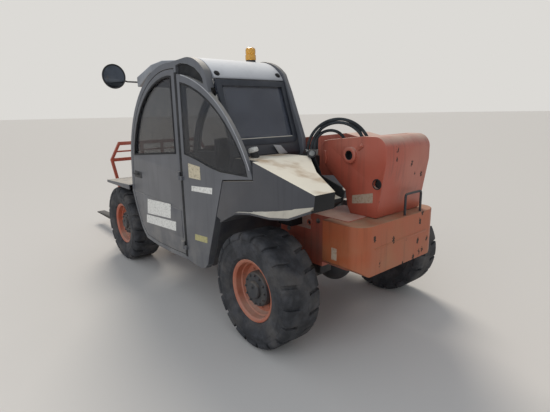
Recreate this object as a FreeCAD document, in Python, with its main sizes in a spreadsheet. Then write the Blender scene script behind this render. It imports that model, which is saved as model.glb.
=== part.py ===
import FreeCAD, Part
import Sketcher
import math
import os
import re

# Compact telehandler on four wheels: cab on the left, boom on the right of it,
# fork carriage in front. Millimetres, +X forward, +Y the machine's left, +Z up.
# The origin is on the ground below the middle of the outline. Every x below is
# measured from the rear axle, and place() adds rear_axle_x.

# Driving dimensions
SIZES = [
    # wheels and axles
    ("rear_axle_x", -1883), ("wheelbase", 2450), ("wheel_y", 745),
    ("tyre_radius", 420), ("tyre_width", 310), ("tyre_shoulder", 45),
    ("rim_flange_radius", 228), ("rim_seat_radius", 210), ("rim_wall", 9),
    ("rim_width", 252), ("rim_disc_offset", 12), ("rim_disc_wall", 14),
    ("hub_radius", 108), ("hub_face", 92), ("hub_cap_radius", 62), ("hub_cap_depth", 24),
    ("bead_clearance", 0.3), ("hub_back", 30), ("running_gap", 0.5),
    ("kingpin_y", 640), ("knuckle_radius", 62), ("knuckle_half_height", 96),
    ("yoke_wall", 34), ("yoke_gap", 0.6), ("yoke_half_length", 58), ("axle_tube_radius", 62),
    ("diff_radius", 148), ("diff_length", 230), ("axle_pad_length", 220), ("axle_pad_width", 120),
    # chassis
    ("frame_belly_z", 360), ("frame_axle_z", 515), ("frame_top_z", 780), ("pedestal_z", 909),
    ("frame_half_width", 345), ("frame_rear_x", -420), ("frame_front_x", "=wheelbase + 200"),
    ("frame_nose_half_width", 300), ("frame_nose_x", "=wheelbase - 320"), ("frame_cab_x", 280),
    ("pedestal_front_x", -60), ("axle_arch_half", 190), ("channel_half_width", 95),
    ("channel_floor_z", 590), ("channel_rear_x", -150), ("channel_front_x", 1330),
    # counterweight
    ("weight_rear_x", -600), ("weight_left", 425), ("weight_right", 500), ("weight_bottom_z", 552),
    ("weight_top_z", 905), ("weight_corner", 120), ("weight_front_x", -255), ("weight_tyre_x", -385),
    ("weight_skirt", 60), ("weight_skirt_width", 95), ("loop_radius", 9), ("loop_height", 145),
    # tower
    ("boom_y", -120), ("tower_half_width", 270), ("tower_plate", 25),
    ("boom_pivot_x", -269), ("boom_pivot_z", 1334), ("pivot_bore", 34), ("pivot_pin_radius", 46),
    ("tower_boss_radius", 56), ("tower_boss_depth", 24), ("tower_back", 12), ("tower_fold", 95),
    ("tower_rear_x", -565), ("lower_hole_x", -500), ("lower_hole_z", 1150),
    ("lower_hole_radius", 30), ("pin_clearance", 0.5), ("tower_top_z", 1470),
    ("tower_flange_front_x", -412),
    # boom, in its own frame: along from the pivot, up square to it
    ("boom_droop", 6), ("boom_width", 270), ("boom_height", 320), ("boom_wall", 12),
    ("boom_outer_end", 2250), ("boom_tail", 110), ("boom_sleeve", 60), ("boom_sleeve_wall", 16),
    ("inner_gap", 6), ("pad_gap", 0.6), ("pad_length", 110), ("inner_wall", 10),
    ("inner_start", 350), ("inner_end", "=wheelbase + 630"),
    ("head_root", "=wheelbase + 450"), ("head_reach", "=wheelbase + 950"), ("head_drop", 620),
    ("head_boss", 65),
    ("head_plate", 20), ("head_pin_radius", 30),
    # lift cylinder
    ("lift_base_x", -50), ("lift_base_z", 700), ("lift_eye_along", 1250), ("lift_eye_drop", 225),
    ("lift_barrel_radius", 52), ("lift_rod_radius", 28), ("lift_barrel_length", 770),
    ("lift_rod_start", 90), ("eye_half_width", 30), ("lug_gap", 0.6), ("lug_wall", 16),
    ("lift_eye_radius", 45), ("lift_neck", 78), ("rod_clearance", 0.5),
    # tilt cylinder
    ("tilt_base_along", "=wheelbase + 560"), ("tilt_base_up", 30), ("tilt_pin_x", 40), ("tilt_pin_z", 260),
    ("tilt_barrel_radius", 38), ("tilt_rod_radius", 20), ("tilt_barrel_length", 425),
    ("tilt_rod_start", 120), ("tilt_eye_radius", 34), ("tilt_eye_half", 24), ("tilt_neck", 70),
    ("tilt_retract", 56),
    # carriage and forks
    ("carriage_back_x", 80), ("carriage_face_x", 150), ("carriage_half_width", 640),
    ("carriage_bar", 90), ("carriage_low_z", 230), ("carriage_high_z", 700),
    ("backrest_top_z", 1300), ("backrest_half_width", 590), ("backrest_bar", 36),
    ("fork_y", 550), ("fork_width", 112), ("fork_thick", 42), ("fork_bottom_z", 158),
    ("fork_length", 1178), ("fork_tip", 14), ("fork_shank_top_z", 770),
    # cab
    ("cab_left_y", 860), ("cab_right_y", 100), ("cab_left_wall", 58), ("cab_right_wall", 40),
    ("seat_clearance", 0.3), ("door_gap", 6), ("door_wall", 40), ("door_stand", 2),
    ("hinge_x", 968), ("hinge_out", 14), ("hinge_radius", 11), ("hinge_low_z", 520),
    ("hinge_high_z", 1130), ("hinge_knuckle", 34),
    ("front_arc_radius", 990), ("rear_arc_radius", 1077), ("quarter_arc_radius", 1180),
    ("frame_bar", 45), ("corner_recess", 26), ("rear_sill_z", 1455),
    ("roof_top_z", 2055), ("roof_wall", 40), ("roof_bend", 371), ("rail_bend", 420),
    ("visor_x", 1860),
    ("glass_wall", 6), ("floor_z", 410), ("floor_wall", 40),
    # cab furniture
    ("seat_y", 470), ("seat_width", 460), ("seat_x", 640), ("seat_length", 480),
    ("seat_top_z", 900), ("seat_back_top_z", 1460), ("seat_back_wall", 120), ("cushion_wall", 110),
    ("wheel_rim_radius", 185), ("wheel_grip_radius", 14), ("column_radius", 32),
    ("column_x", 1560), ("column_z", 1150), ("column_rake", 35), ("column_length", 590),
    # fenders and engine bay
    ("fender_wall", 12), ("fender_inner_y", 480), ("fender_outer_y", 892),
    ("lip_width", 30), ("lip_wall", 14), ("fender_shield_y", 350),
    ("bay_rear_x", 530), ("bay_front_x", "=wheelbase - 570"), ("bay_outer_y", 860), ("bay_floor_z", 400),
    ("bay_wall", 12), ("bay_top_z", 760), ("hood_top_z", 1090), ("hood_slope", 150),
    ("hood_hinge_gap", 8), ("hood_seat_gap", 0.6), ("engine_length", "=wheelbase - 1550"),
    ("engine_width", 360), ("engine_height", 540),
    ("engine_x", 750), ("engine_y", -780),
    # fittings
    ("beacon_x", 820), ("beacon_y", 200), ("beacon_radius", 38), ("beacon_height", 105),
    ("beacon_base_radius", 46), ("beacon_base_height", 22),
    ("mirror_x", "=wheelbase + 110"), ("mirror_y", 764), ("mirror_z", 2050), ("mirror_radius", 128),
    ("mirror_depth", 42), ("mirror_turn", 4), ("mirror_arm_radius", 9),
    ("hose_radius", 11), ("lamp_size", 90), ("lamp_depth", 60), ("lamp_y", 200), ("lamp_z", 640),
]

doc = FreeCAD.newDocument("telehandler")
sheet = doc.addObject("Spreadsheet::Sheet", "Sheet")
for number, (alias, value) in enumerate(SIZES, start=1):
    sheet.set("A%d" % number, alias)
    sheet.set("B%d" % number, str(value))
    sheet.setAlias("B%d" % number, alias)
doc.recompute()
ALIASES = {alias for alias, value in SIZES}
PARTS = []


# Shared helpers
def linked(expression):
    """Put the sheet's name before each alias in an expression."""
    return re.sub(r"[a-z][a-z_]*",
                  lambda m: "Sheet." + m.group(0) if m.group(0) in ALIASES else m.group(0),
                  str(expression))


def size(expression):
    """Value of an expression of the sheet's aliases."""
    return float(sheet.evalExpression(str(expression)))


def bind(item, prop, expression):
    """Tie one property of an object to the sheet."""
    item.setExpression(prop, linked(expression))


def place(item, x, y, z):
    """Put an object's origin at x from the rear axle, y and z."""
    bind(item, "Placement.Base.x", "rear_axle_x + (%s)" % x)
    bind(item, "Placement.Base.y", y)
    bind(item, "Placement.Base.z", z)
    return item


def turn(item, axis, angle):
    """Turn an object about an axis through its origin, by an angle of the sheet."""
    item.Placement.Rotation = FreeCAD.Rotation(FreeCAD.Vector(*axis), 10)
    bind(item, "Placement.Rotation.Angle", angle)
    return item


def keep(item, label):
    """Name an object as a sub-part of its own."""
    item.Label = label
    PARTS.append(item)
    return item


def box(name, x, y, z, length, width, height):
    """Block from its low corner."""
    item = doc.addObject("Part::Box", name)
    bind(item, "Length", length)
    bind(item, "Width", width)
    bind(item, "Height", height)
    return place(item, x, y, z)


AXES = {"x": FreeCAD.Rotation(FreeCAD.Vector(0, 1, 0), 90),
        "y": FreeCAD.Rotation(FreeCAD.Vector(1, 0, 0), -90),
        "z": FreeCAD.Rotation()}


def rod(name, axis, radius, length, x, y, z):
    """Cylinder from its start along x, y or z."""
    item = doc.addObject("Part::Cylinder", name)
    bind(item, "Radius", radius)
    bind(item, "Height", length)
    item.Placement.Rotation = AXES[axis]
    return place(item, x, y, z)


def fuse(label, items):
    """Join objects to one."""
    item = doc.addObject("Part::MultiFuse", label)
    item.Shapes = items
    item.Refine = False
    return item


def cut(label, base, tools):
    """Take one object, or several joined, from another."""
    item = doc.addObject("Part::Cut", label)
    item.Base = base
    item.Tool = tools[0] if len(tools) == 1 else fuse(label + "_tool", tools)
    return item


def common(label, first, second):
    """What two objects share."""
    item = doc.addObject("Part::Common", label)
    item.Base = first
    item.Tool = second
    return item


def plane_of(body, role):
    """One of a body's own origin planes."""
    return [f for f in body.Origin.OriginFeatures if f.Role == role][0]


def outline(body, name, role, rows, circles=()):
    """Closed sketch from rows of (across, up, radius of the edge that arrives or 0).

    A positive radius turns left on its way, a negative one turns right. Each
    corner and radius is tied to the sheet. circles are (across, up, radius).
    """
    sketch = body.newObject("Sketcher::SketchObject", name)
    sketch.AttachmentSupport = [(plane_of(body, role), "")]
    sketch.MapMode = "FlatFace"
    points = [FreeCAD.Vector(size(row[0]), size(row[1]), 0) for row in rows]
    ends = []
    for index, row in enumerate(rows):
        start, end = points[index - 1], points[index]
        radius = size(row[2])
        if radius == 0:
            edge = sketch.addGeometry(Part.LineSegment(start, end), False)
            ends.append((edge, 1, 2))
            continue
        half = (end - start) * 0.5
        reach = math.sqrt(radius ** 2 - half.Length ** 2)
        side = FreeCAD.Vector(-half.y, half.x, 0).normalize()
        centre = start + half + side * math.copysign(reach, radius)
        first, last = (start, end) if radius > 0 else (end, start)
        angles = [math.atan2(p.y - centre.y, p.x - centre.x) for p in (first, last)]
        circle = Part.Circle(centre, FreeCAD.Vector(0, 0, 1), abs(radius))
        edge = sketch.addGeometry(Part.ArcOfCircle(circle, *angles), False)
        ends.append((edge, 1, 2) if radius > 0 else (edge, 2, 1))
        number = sketch.addConstraint(Sketcher.Constraint("Radius", edge, abs(radius)))
        bind(sketch, "Constraints[%d]" % number, "abs(%s)" % row[2])
    for index, row in enumerate(rows):
        edge, _, last = ends[index]
        following, first, _ = ends[(index + 1) % len(rows)]
        sketch.addConstraint(Sketcher.Constraint("Coincident", edge, last, following, first))
        for kind, value in (("DistanceX", row[0]), ("DistanceY", row[1])):
            number = sketch.addConstraint(
                Sketcher.Constraint(kind, -1, 1, edge, last, size(value)))
            bind(sketch, "Constraints[%d]" % number, value)
    for across, up, radius in circles:
        centre = FreeCAD.Vector(size(across), size(up), 0)
        edge = sketch.addGeometry(
            Part.Circle(centre, FreeCAD.Vector(0, 0, 1), size(radius)), False)
        number = sketch.addConstraint(Sketcher.Constraint("Radius", edge, size(radius)))
        bind(sketch, "Constraints[%d]" % number, radius)
        for kind, value in (("DistanceX", across), ("DistanceY", up)):
            number = sketch.addConstraint(
                Sketcher.Constraint(kind, -1, 1, edge, 3, size(value)))
            bind(sketch, "Constraints[%d]" % number, value)
    return sketch


def slab(name, role, rows, thickness, middle, circles=()):
    """Body with one outline padded evenly to both sides of its plane.

    middle is the place of that plane: y for a side profile, z for a plan and x
    for a cross section.
    """
    body = doc.addObject("PartDesign::Body", name)
    sketch = outline(body, name + "_outline", role, rows, circles)
    pad = body.newObject("PartDesign::Pad", name + "_pad")
    pad.Profile = sketch
    pad.SideType = "Symmetric"
    bind(pad, "Length", thickness)
    where = {"XZ_Plane": ("0", middle, "0"), "XY_Plane": ("0", "0", middle),
             "YZ_Plane": (middle, "0", "0")}[role]
    return place(body, *where)


def window(body, name, role, rows, depth, circles=()):
    """Pocket an outline through a body, evenly to both sides of its plane."""
    sketch = outline(body, name, role, rows, circles)
    pocket = body.newObject("PartDesign::Pocket", name + "_pocket")
    pocket.Profile = sketch
    pocket.SideType = "Symmetric"
    bind(pocket, "Length", depth)
    return body


def ring(name, rows, x, y, z):
    """Body turned about an axis along y, from rows of (radius, along, arc radius)."""
    body = doc.addObject("PartDesign::Body", name)
    sketch = outline(body, name + "_outline", "XY_Plane", rows)
    turned = body.newObject("PartDesign::Revolution", name + "_turn")
    turned.Profile = sketch
    turned.ReferenceAxis = (sketch, ["V_Axis"])
    turned.Angle = 360
    return place(body, x, y, z)


WHEELS = [
    # name, x of the axle, side (1 left, -1 right)
    ("front_left", "wheelbase", 1), ("front_right", "wheelbase", -1),
    ("rear_left", "0", 1), ("rear_right", "0", -1),
]


def signed(side, expression):
    """The expression as it is on the left, or mirrored to the right."""
    return "%d * (%s)" % (side, expression)


# Wheels: tyre, dished rim with its planetary hub, and steering knuckle
def tyre(name, x, side):
    bead, flange = "rim_seat_radius + bead_clearance", "rim_flange_radius + bead_clearance"
    rows = [(bead, "-rim_width / 2 + rim_wall", 0), (flange, "-rim_width / 2 + rim_wall", 0),
            (flange, "-rim_width / 2 - 6", 0), ("tyre_radius - tyre_shoulder", "-tyre_width / 2", 0),
            ("tyre_radius", "-tyre_width / 2 + tyre_shoulder", 0),
            ("tyre_radius", "tyre_width / 2 - tyre_shoulder", 0),
            ("tyre_radius - tyre_shoulder", "tyre_width / 2", 0), (flange, "rim_width / 2 + 6", 0),
            (flange, "rim_width / 2 - rim_wall", 0), (bead, "rim_width / 2 - rim_wall", 0)]
    keep(ring("tyre_" + name, rows, x, signed(side, "wheel_y"), "tyre_radius"), "tyre_" + name)


def rim(name, x, side):
    def at(expression):
        return signed(side, expression)
    inner = "rim_seat_radius - rim_wall"
    rows = [(inner, at("-rim_width / 2"), 0),
            ("rim_flange_radius", at("-rim_width / 2"), 0),
            ("rim_flange_radius", at("-rim_width / 2 + rim_wall - bead_clearance"), 0),
            ("rim_seat_radius", at("-rim_width / 2 + rim_wall - bead_clearance"), 0),
            ("rim_seat_radius", at("rim_width / 2 - rim_wall + bead_clearance"), 0),
            ("rim_flange_radius", at("rim_width / 2 - rim_wall + bead_clearance"), 0),
            ("rim_flange_radius", at("rim_width / 2"), 0),
            (inner, at("rim_width / 2"), 0),
            (inner, at("rim_disc_offset + rim_disc_wall + 30"), 0),
            (inner + " - 40", at("rim_disc_offset + rim_disc_wall"), 0),
            ("hub_radius", at("rim_disc_offset + rim_disc_wall"), 0),
            ("hub_radius", at("hub_face - 14"), 0),
            ("hub_radius - 14", at("hub_face"), 0),
            ("hub_cap_radius", at("hub_face"), 0),
            ("hub_cap_radius", at("hub_face + hub_cap_depth"), 0),
            ("0", at("hub_face + hub_cap_depth"), 0),
            ("0", at("-hub_back"), 0),
            ("hub_radius - 22", at("-hub_back"), 0),
            ("hub_radius - 22", at("rim_disc_offset"), 0),
            (inner + " - 46", at("rim_disc_offset"), 0),
            (inner, at("rim_disc_offset + 20"), 0)]
    keep(ring("rim_" + name, rows, x, signed(side, "wheel_y"), "tyre_radius"), "rim_" + name)


def knuckle(name, x, side):
    spindle = "wheel_y - kingpin_y - hub_back - running_gap"
    housing = rod("knuckle_housing_" + name, "z", "knuckle_radius", "2 * knuckle_half_height",
                  x, signed(side, "kingpin_y"), "tyre_radius - knuckle_half_height")
    if side > 0:
        neck_y, flange_y = "kingpin_y", "kingpin_y + %s - 22" % spindle
    else:
        neck_y, flange_y = "-kingpin_y - (%s)" % spindle, "-kingpin_y - (%s)" % spindle
    neck = rod("knuckle_neck_" + name, "y", "hub_radius - 42", spindle, x, neck_y, "tyre_radius")
    flange = rod("knuckle_flange_" + name, "y", "hub_radius - 18", "22", x, flange_y, "tyre_radius")
    arm = box("knuckle_arm_" + name, x + " - 150", signed(side, "kingpin_y") + " - 22",
              "tyre_radius - 18", "120", "44", "36")
    keep(fuse("knuckle_" + name, [housing, neck, flange, arm]), "knuckle_" + name)


for wheel_name, wheel_x, wheel_side in WHEELS:
    tyre(wheel_name, wheel_x, wheel_side)
    rim(wheel_name, wheel_x, wheel_side)
    knuckle(wheel_name, wheel_x, wheel_side)


# Axles: tube with differential, a pad under the chassis and a yoke at each kingpin
def axle(name, x):
    tube = rod(name + "_tube", "y", "axle_tube_radius",
               "2 * (kingpin_y - knuckle_radius - 12)", x, "-(kingpin_y - knuckle_radius - 12)",
               "tyre_radius")
    bulb = doc.addObject("Part::Ellipsoid", name + "_bulb")
    bind(bulb, "Radius1", "diff_radius")
    bind(bulb, "Radius2", "diff_radius")
    bind(bulb, "Radius3", "diff_radius")
    place(bulb, x, "0", "tyre_radius")
    pieces = [tube, bulb]
    for side, mark in ((1, "left"), (-1, "right")):
        pieces.append(box("%s_pad_%s" % (name, mark), x + " - axle_pad_length / 2",
                          "%d * 225 - axle_pad_width / 2" % side, "tyre_radius",
                          "axle_pad_length", "axle_pad_width", "frame_axle_z - tyre_radius"))
        edge = "kingpin_y - knuckle_radius - 40" if side > 0 else "-(kingpin_y + yoke_half_length)"
        web = "kingpin_y - knuckle_radius - 40" if side > 0 else "-(kingpin_y - knuckle_radius - 12)"
        reach = "yoke_half_length + knuckle_radius + 40"
        half = "(knuckle_half_height + yoke_gap)"
        for mark2, low in (("top", "tyre_radius + %s" % half),
                           ("low", "tyre_radius - %s - yoke_wall" % half)):
            pieces.append(box("%s_yoke_%s_%s" % (name, mark, mark2), x + " - yoke_half_length",
                              edge, low, "2 * yoke_half_length", reach, "yoke_wall"))
        pieces.append(box("%s_web_%s" % (name, mark), x + " - yoke_half_length", web,
                          "tyre_radius - (%s) - yoke_wall" % half, "2 * yoke_half_length", "28",
                          "2 * (%s + yoke_wall)" % half))
    keep(fuse(name, pieces), name)


axle("axle_rear", "0")
axle("axle_front", "wheelbase")


# Chassis: one welded box in plan, open at the axles, with the lift cylinder's channel
def chassis():
    cab_side = "cab_right_y - seat_clearance"
    plan = [("frame_rear_x", "-frame_half_width", 0), ("frame_nose_x - 180", "-frame_half_width", 0),
            ("frame_nose_x", "-frame_nose_half_width", 0),
            ("frame_front_x", "-frame_nose_half_width", 0),
            ("frame_front_x", "frame_nose_half_width", 0),
            ("frame_nose_x", "frame_nose_half_width", 0), ("frame_nose_x", cab_side, 0),
            ("frame_cab_x", cab_side, 0), ("frame_cab_x", "frame_half_width", 0),
            ("frame_rear_x", "frame_half_width", 0)]
    height = "frame_top_z - frame_belly_z"
    base = slab("frame_plan", "XY_Plane", plan, height, "(frame_top_z + frame_belly_z) / 2")
    pedestal = box("frame_pedestal", "frame_rear_x", "-frame_half_width", "frame_top_z",
                   "pedestal_front_x - frame_rear_x", "2 * frame_half_width",
                   "pedestal_z - frame_top_z")
    body = fuse("frame_body", [base, pedestal])
    tools = []
    for name, x in (("rear", "0"), ("front", "wheelbase")):
        tools.append(box("frame_arch_" + name, x + " - axle_arch_half", "-frame_half_width - 10",
                         "frame_belly_z - 10", "2 * axle_arch_half", "2 * frame_half_width + 20",
                         "frame_axle_z - frame_belly_z + 10"))
        tools.append(rod("frame_bulb_" + name, "y", "diff_radius + 8", "2 * diff_length - 130",
                         x, "-diff_length + 65", "tyre_radius"))
    tools.append(box("frame_tail", "frame_rear_x - 10", "-frame_half_width - 10",
                     "frame_belly_z - 10", "10 - axle_arch_half - frame_rear_x + 10",
                     "2 * frame_half_width + 20", "weight_bottom_z - frame_belly_z + 10"))
    tools.append(box("frame_channel", "channel_rear_x", "boom_y - channel_half_width",
                     "channel_floor_z", "channel_front_x - channel_rear_x",
                     "2 * channel_half_width", "pedestal_z - channel_floor_z + 10"))
    opened = cut("frame_opened", body, tools)
    lugs = []
    for name, y in (("near", "boom_y - eye_half_width - lug_gap - lug_wall"),
                    ("far", "boom_y + eye_half_width + lug_gap")):
        lugs.append(box("frame_lug_" + name, "lift_base_x - 60", y, "channel_floor_z", "120",
                        "lug_wall", "lift_base_z - channel_floor_z + 40"))
    keep(fuse("main_frame", [opened] + lugs), "main_frame")


chassis()


# Counterweight: cast block round the frame's tail, with round corners and slanted skirts
def counterweight():
    left, right, gap = "weight_left", "weight_right", "(frame_half_width + seat_clearance)"
    plan = [("frame_rear_x - seat_clearance", "-" + gap, 0), ("weight_tyre_x", "-" + gap, 0),
            ("weight_tyre_x", "-" + right, 0),
            ("weight_rear_x + weight_corner", "-" + right, 0),
            ("weight_rear_x", "weight_corner - " + right, "-weight_corner"),
            ("weight_rear_x", left + " - weight_corner", 0),
            ("weight_rear_x + weight_corner", left, "-weight_corner"),
            ("weight_front_x", left, 0), ("weight_front_x", gap, 0),
            ("frame_rear_x - seat_clearance", gap, 0)]
    block = slab("weight_plan", "XY_Plane", plan, "weight_top_z - weight_bottom_z",
                 "(weight_top_z + weight_bottom_z) / 2")
    skirt_z = "weight_bottom_z + weight_skirt"
    section = [("weight_skirt_width - " + right, "weight_bottom_z", 0),
               (left + " - weight_skirt_width", "weight_bottom_z", 0),
               (left + " + 1", skirt_z, 0), (left + " + 1", "weight_top_z - 20", 0),
               (left + " - 20", "weight_top_z", 0), ("20 - " + right, "weight_top_z", 0),
               ("-%s - 1" % right, "weight_top_z - 20", 0), ("-%s - 1" % right, skirt_z, 0)]
    shape = slab("weight_section", "YZ_Plane", section, "2 * (weight_front_x - weight_rear_x)",
                 "weight_front_x")
    x, low, top = "tower_rear_x - 10", "weight_top_z - 10", "weight_top_z + loop_height"
    loop = [rod("loop_leg_left", "z", "loop_radius", "loop_height + 10", x, "-90", low),
            rod("loop_leg_right", "z", "loop_radius", "loop_height + 10", x, "-290", low),
            rod("loop_bar", "y", "loop_radius", "200 + 2 * loop_radius", x,
                "-290 - loop_radius", top)]
    keep(fuse("counterweight", [common("weight_block", block, shape)] + loop), "counterweight")


counterweight()


# Tower: two plates and a folded rear plate, with the boom's hollow pivot pin
def tower():
    corner, fold = "tower_rear_x + tower_fold", "tower_top_z - tower_fold"
    profile = [("-274", "pedestal_z", 0), ("-243", "965", 0), ("-222", "1074", 0),
               ("-18", "1241", 0), ("14", "1390", 0), ("-6", "1425", 0), ("-83", "1438", 0),
               ("-380", "tower_top_z", 0), (corner, "tower_top_z", 0),
               ("tower_rear_x", fold, "tower_fold"), ("tower_rear_x", "1289", 0),
               ("-504", "pedestal_z", 0)]
    rear = [("-504", "pedestal_z", 0), ("-504 + tower_back", "pedestal_z", 0),
            ("tower_rear_x + tower_back", "1289", 0), ("tower_rear_x + tower_back", fold, 0),
            (corner, "tower_top_z - tower_back", "-(tower_fold - tower_back)"),
            ("tower_flange_front_x", "tower_top_z - tower_back", 0),
            ("tower_flange_front_x", "tower_top_z", 0), (corner, "tower_top_z", 0),
            ("tower_rear_x", fold, "tower_fold"), ("tower_rear_x", "1289", 0)]
    pieces = [slab("tower_rear", "XZ_Plane", rear, "2 * tower_half_width", "boom_y")]
    for name, side in (("left", 1), ("right", -1)):
        middle = "boom_y + %d * (tower_half_width - tower_plate / 2)" % side
        pieces.append(slab("tower_plate_" + name, "XZ_Plane", profile, "tower_plate", middle))
        face = ("boom_y + tower_half_width" if side > 0
                else "boom_y - tower_half_width - tower_boss_depth")
        pieces.append(rod("tower_boss_" + name, "y", "tower_boss_radius", "tower_boss_depth",
                          "boom_pivot_x", face, "boom_pivot_z"))
    pieces.append(rod("tower_pin", "y", "pivot_pin_radius", "2 * tower_half_width - 10",
                      "boom_pivot_x", "boom_y - tower_half_width + 5", "boom_pivot_z"))
    tools = [rod("tower_hole", "y", "lower_hole_radius", "tower_plate + 2", "lower_hole_x",
                 "boom_y + tower_half_width - tower_plate - 1", "lower_hole_z"),
             rod("tower_bore", "y", "pivot_bore",
                 "2 * tower_half_width + 2 * tower_boss_depth + 20", "boom_pivot_x",
                 "boom_y - tower_half_width - tower_boss_depth - 10", "boom_pivot_z")]
    keep(cut("tower", fuse("tower_body", pieces), tools), "tower")


tower()


# Boom: everything in the boom's frame, then drooped about the pivot
def on_boom(item):
    """Lay a body drawn in the boom's frame along the boom."""
    turn(item, (0, 1, 0), "boom_droop")
    return place(item, "boom_pivot_x", "boom_y", "boom_pivot_z")


def boom_box(name, along, across, up, length, width, height):
    """Block in the boom's frame, as a body of its own outline."""
    rows = [(along, up, 0), ("%s + %s" % (along, length), up, 0),
            ("%s + %s" % (along, length), "%s + %s" % (up, height), 0),
            (along, "%s + %s" % (up, height), 0)]
    body = slab(name, "XZ_Plane", rows, width, "0")
    turn(body, (0, 1, 0), "boom_droop")
    return place(body, "boom_pivot_x", "boom_y + %s" % across, "boom_pivot_z")


def boom_rod(name, along, up, radius, half):
    """Cylinder across the boom at a place in its frame, half long to each side."""
    body = doc.addObject("PartDesign::Body", name)
    sketch = outline(body, name + "_outline", "XZ_Plane", [], [(along, up, radius)])
    pad = body.newObject("PartDesign::Pad", name + "_pad")
    pad.Profile = sketch
    pad.SideType = "Symmetric"
    bind(pad, "Length", "2 * (%s)" % half)
    return on_boom(body)


def outer_boom():
    half = "boom_height / 2"
    skin = on_boom(slab("outer_skin", "XZ_Plane", [
        ("90", "-" + half, 0), ("boom_outer_end", "-" + half, 0), ("boom_outer_end", half, 0),
        ("150", half, 0), ("-45", "boom_tail - 10", 0), ("-45", "10 - boom_tail", 0)],
        "boom_width", "0"))
    tail = boom_rod("outer_tail", "0", "0", "boom_tail", "boom_width / 2")
    sleeve = boom_box("outer_sleeve", "boom_outer_end - boom_sleeve", "0",
                      "-boom_height / 2 - boom_sleeve_wall", "boom_sleeve",
                      "boom_width + 2 * boom_sleeve_wall", "boom_height + 2 * boom_sleeve_wall")
    tube = boom_rod("outer_tube", "0", "0", "pivot_pin_radius + 20",
                    "tower_half_width - tower_plate - lug_gap")
    lugs = [boom_box("outer_lug_" + name, "lift_eye_along - 55", across,
                     "-lift_eye_drop - lift_eye_radius", "110", "lug_wall",
                     "lift_eye_drop + lift_eye_radius - boom_height / 2 + 5")
            for name, across in (("near", "-(eye_half_width + lug_gap + lug_wall / 2)"),
                                 ("far", "eye_half_width + lug_gap + lug_wall / 2"))]
    hollow = boom_box("outer_hollow", "200", "0", "-boom_height / 2 + boom_wall",
                      "boom_outer_end - pad_length - 200", "boom_width - 2 * boom_wall",
                      "boom_height - 2 * boom_wall")
    pad = "(boom_wall + inner_gap - pad_gap)"
    mouth = boom_box("outer_mouth", "boom_outer_end - pad_length - 10", "0",
                     "-boom_height / 2 + %s" % pad, "pad_length + 60", "boom_width - 2 * " + pad,
                     "boom_height - 2 * " + pad)
    bore = boom_rod("outer_bore", "0", "0", "pivot_pin_radius + pin_clearance",
                    "tower_half_width")
    body = fuse("outer_body", [skin, tail, sleeve, tube] + lugs)
    keep(cut("boom_outer", body, [hollow, mouth, bore]), "boom_outer")


def inner_boom():
    play = "(boom_wall + inner_gap)"
    height = "boom_height - 2 * %s" % play
    width = "boom_width - 2 * %s" % play
    skin = boom_box("inner_skin", "inner_start", "0", "-boom_height / 2 + %s" % play,
                    "inner_end - inner_start", width, height)
    pad = "(boom_wall + pad_gap)"
    collar = boom_box("inner_collar", "inner_start", "0", "-boom_height / 2 + %s" % pad,
                      "pad_length", "boom_width - 2 * " + pad, "boom_height - 2 * " + pad)
    hollow = boom_box("inner_hollow", "inner_start - 10", "0",
                      "-boom_height / 2 + %s + inner_wall" % play,
                      "inner_end - inner_start + 20", width + " - 2 * inner_wall",
                      height + " - 2 * inner_wall")
    top = "boom_height / 2 - %s" % play
    rows = [("head_root", top, 0), ("head_root", "-(%s)" % top, 0), ("inner_end + 70", "-330", 0),
            ("head_reach - head_boss", "-head_drop", 0),
            ("head_reach + head_boss", "-head_drop", "head_boss + 0.01"),
            ("inner_end + 190", "-235", 0), ("inner_end", top, 0)]
    pieces = [cut("inner_shell", fuse("inner_mass", [skin, collar]), [hollow])]
    for name, side in (("left", 1), ("right", -1)):
        body = slab("head_plate_" + name, "XZ_Plane", rows, "head_plate", "0",
                    [("head_reach", "-head_drop", "head_pin_radius + pin_clearance")])
        turn(body, (0, 1, 0), "boom_droop")
        place(body, "boom_pivot_x", "boom_y + %d * (boom_width / 2 - %s - head_plate / 2)"
              % (side, play), "boom_pivot_z")
        pieces.append(body)
        pieces.append(boom_box("tilt_lug_" + name, "tilt_base_along - 45",
                               "%d * (tilt_eye_half + lug_gap + lug_wall / 2)" % side,
                               "tilt_base_up - 45", "90", "lug_wall",
                               "%s - tilt_base_up + 45" % top))
    keep(fuse("boom_inner", pieces), "boom_inner")


outer_boom()
inner_boom()


# Cylinders: each barrel and rod drawn along its own line, then laid between its pins
def boom_point(along, up):
    """Place of a point of the boom's frame, from the rear axle."""
    return ("boom_pivot_x + (%s) * cos(boom_droop) + (%s) * sin(boom_droop)" % (along, up),
            "boom_pivot_z - (%s) * sin(boom_droop) + (%s) * cos(boom_droop)" % (along, up))


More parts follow.
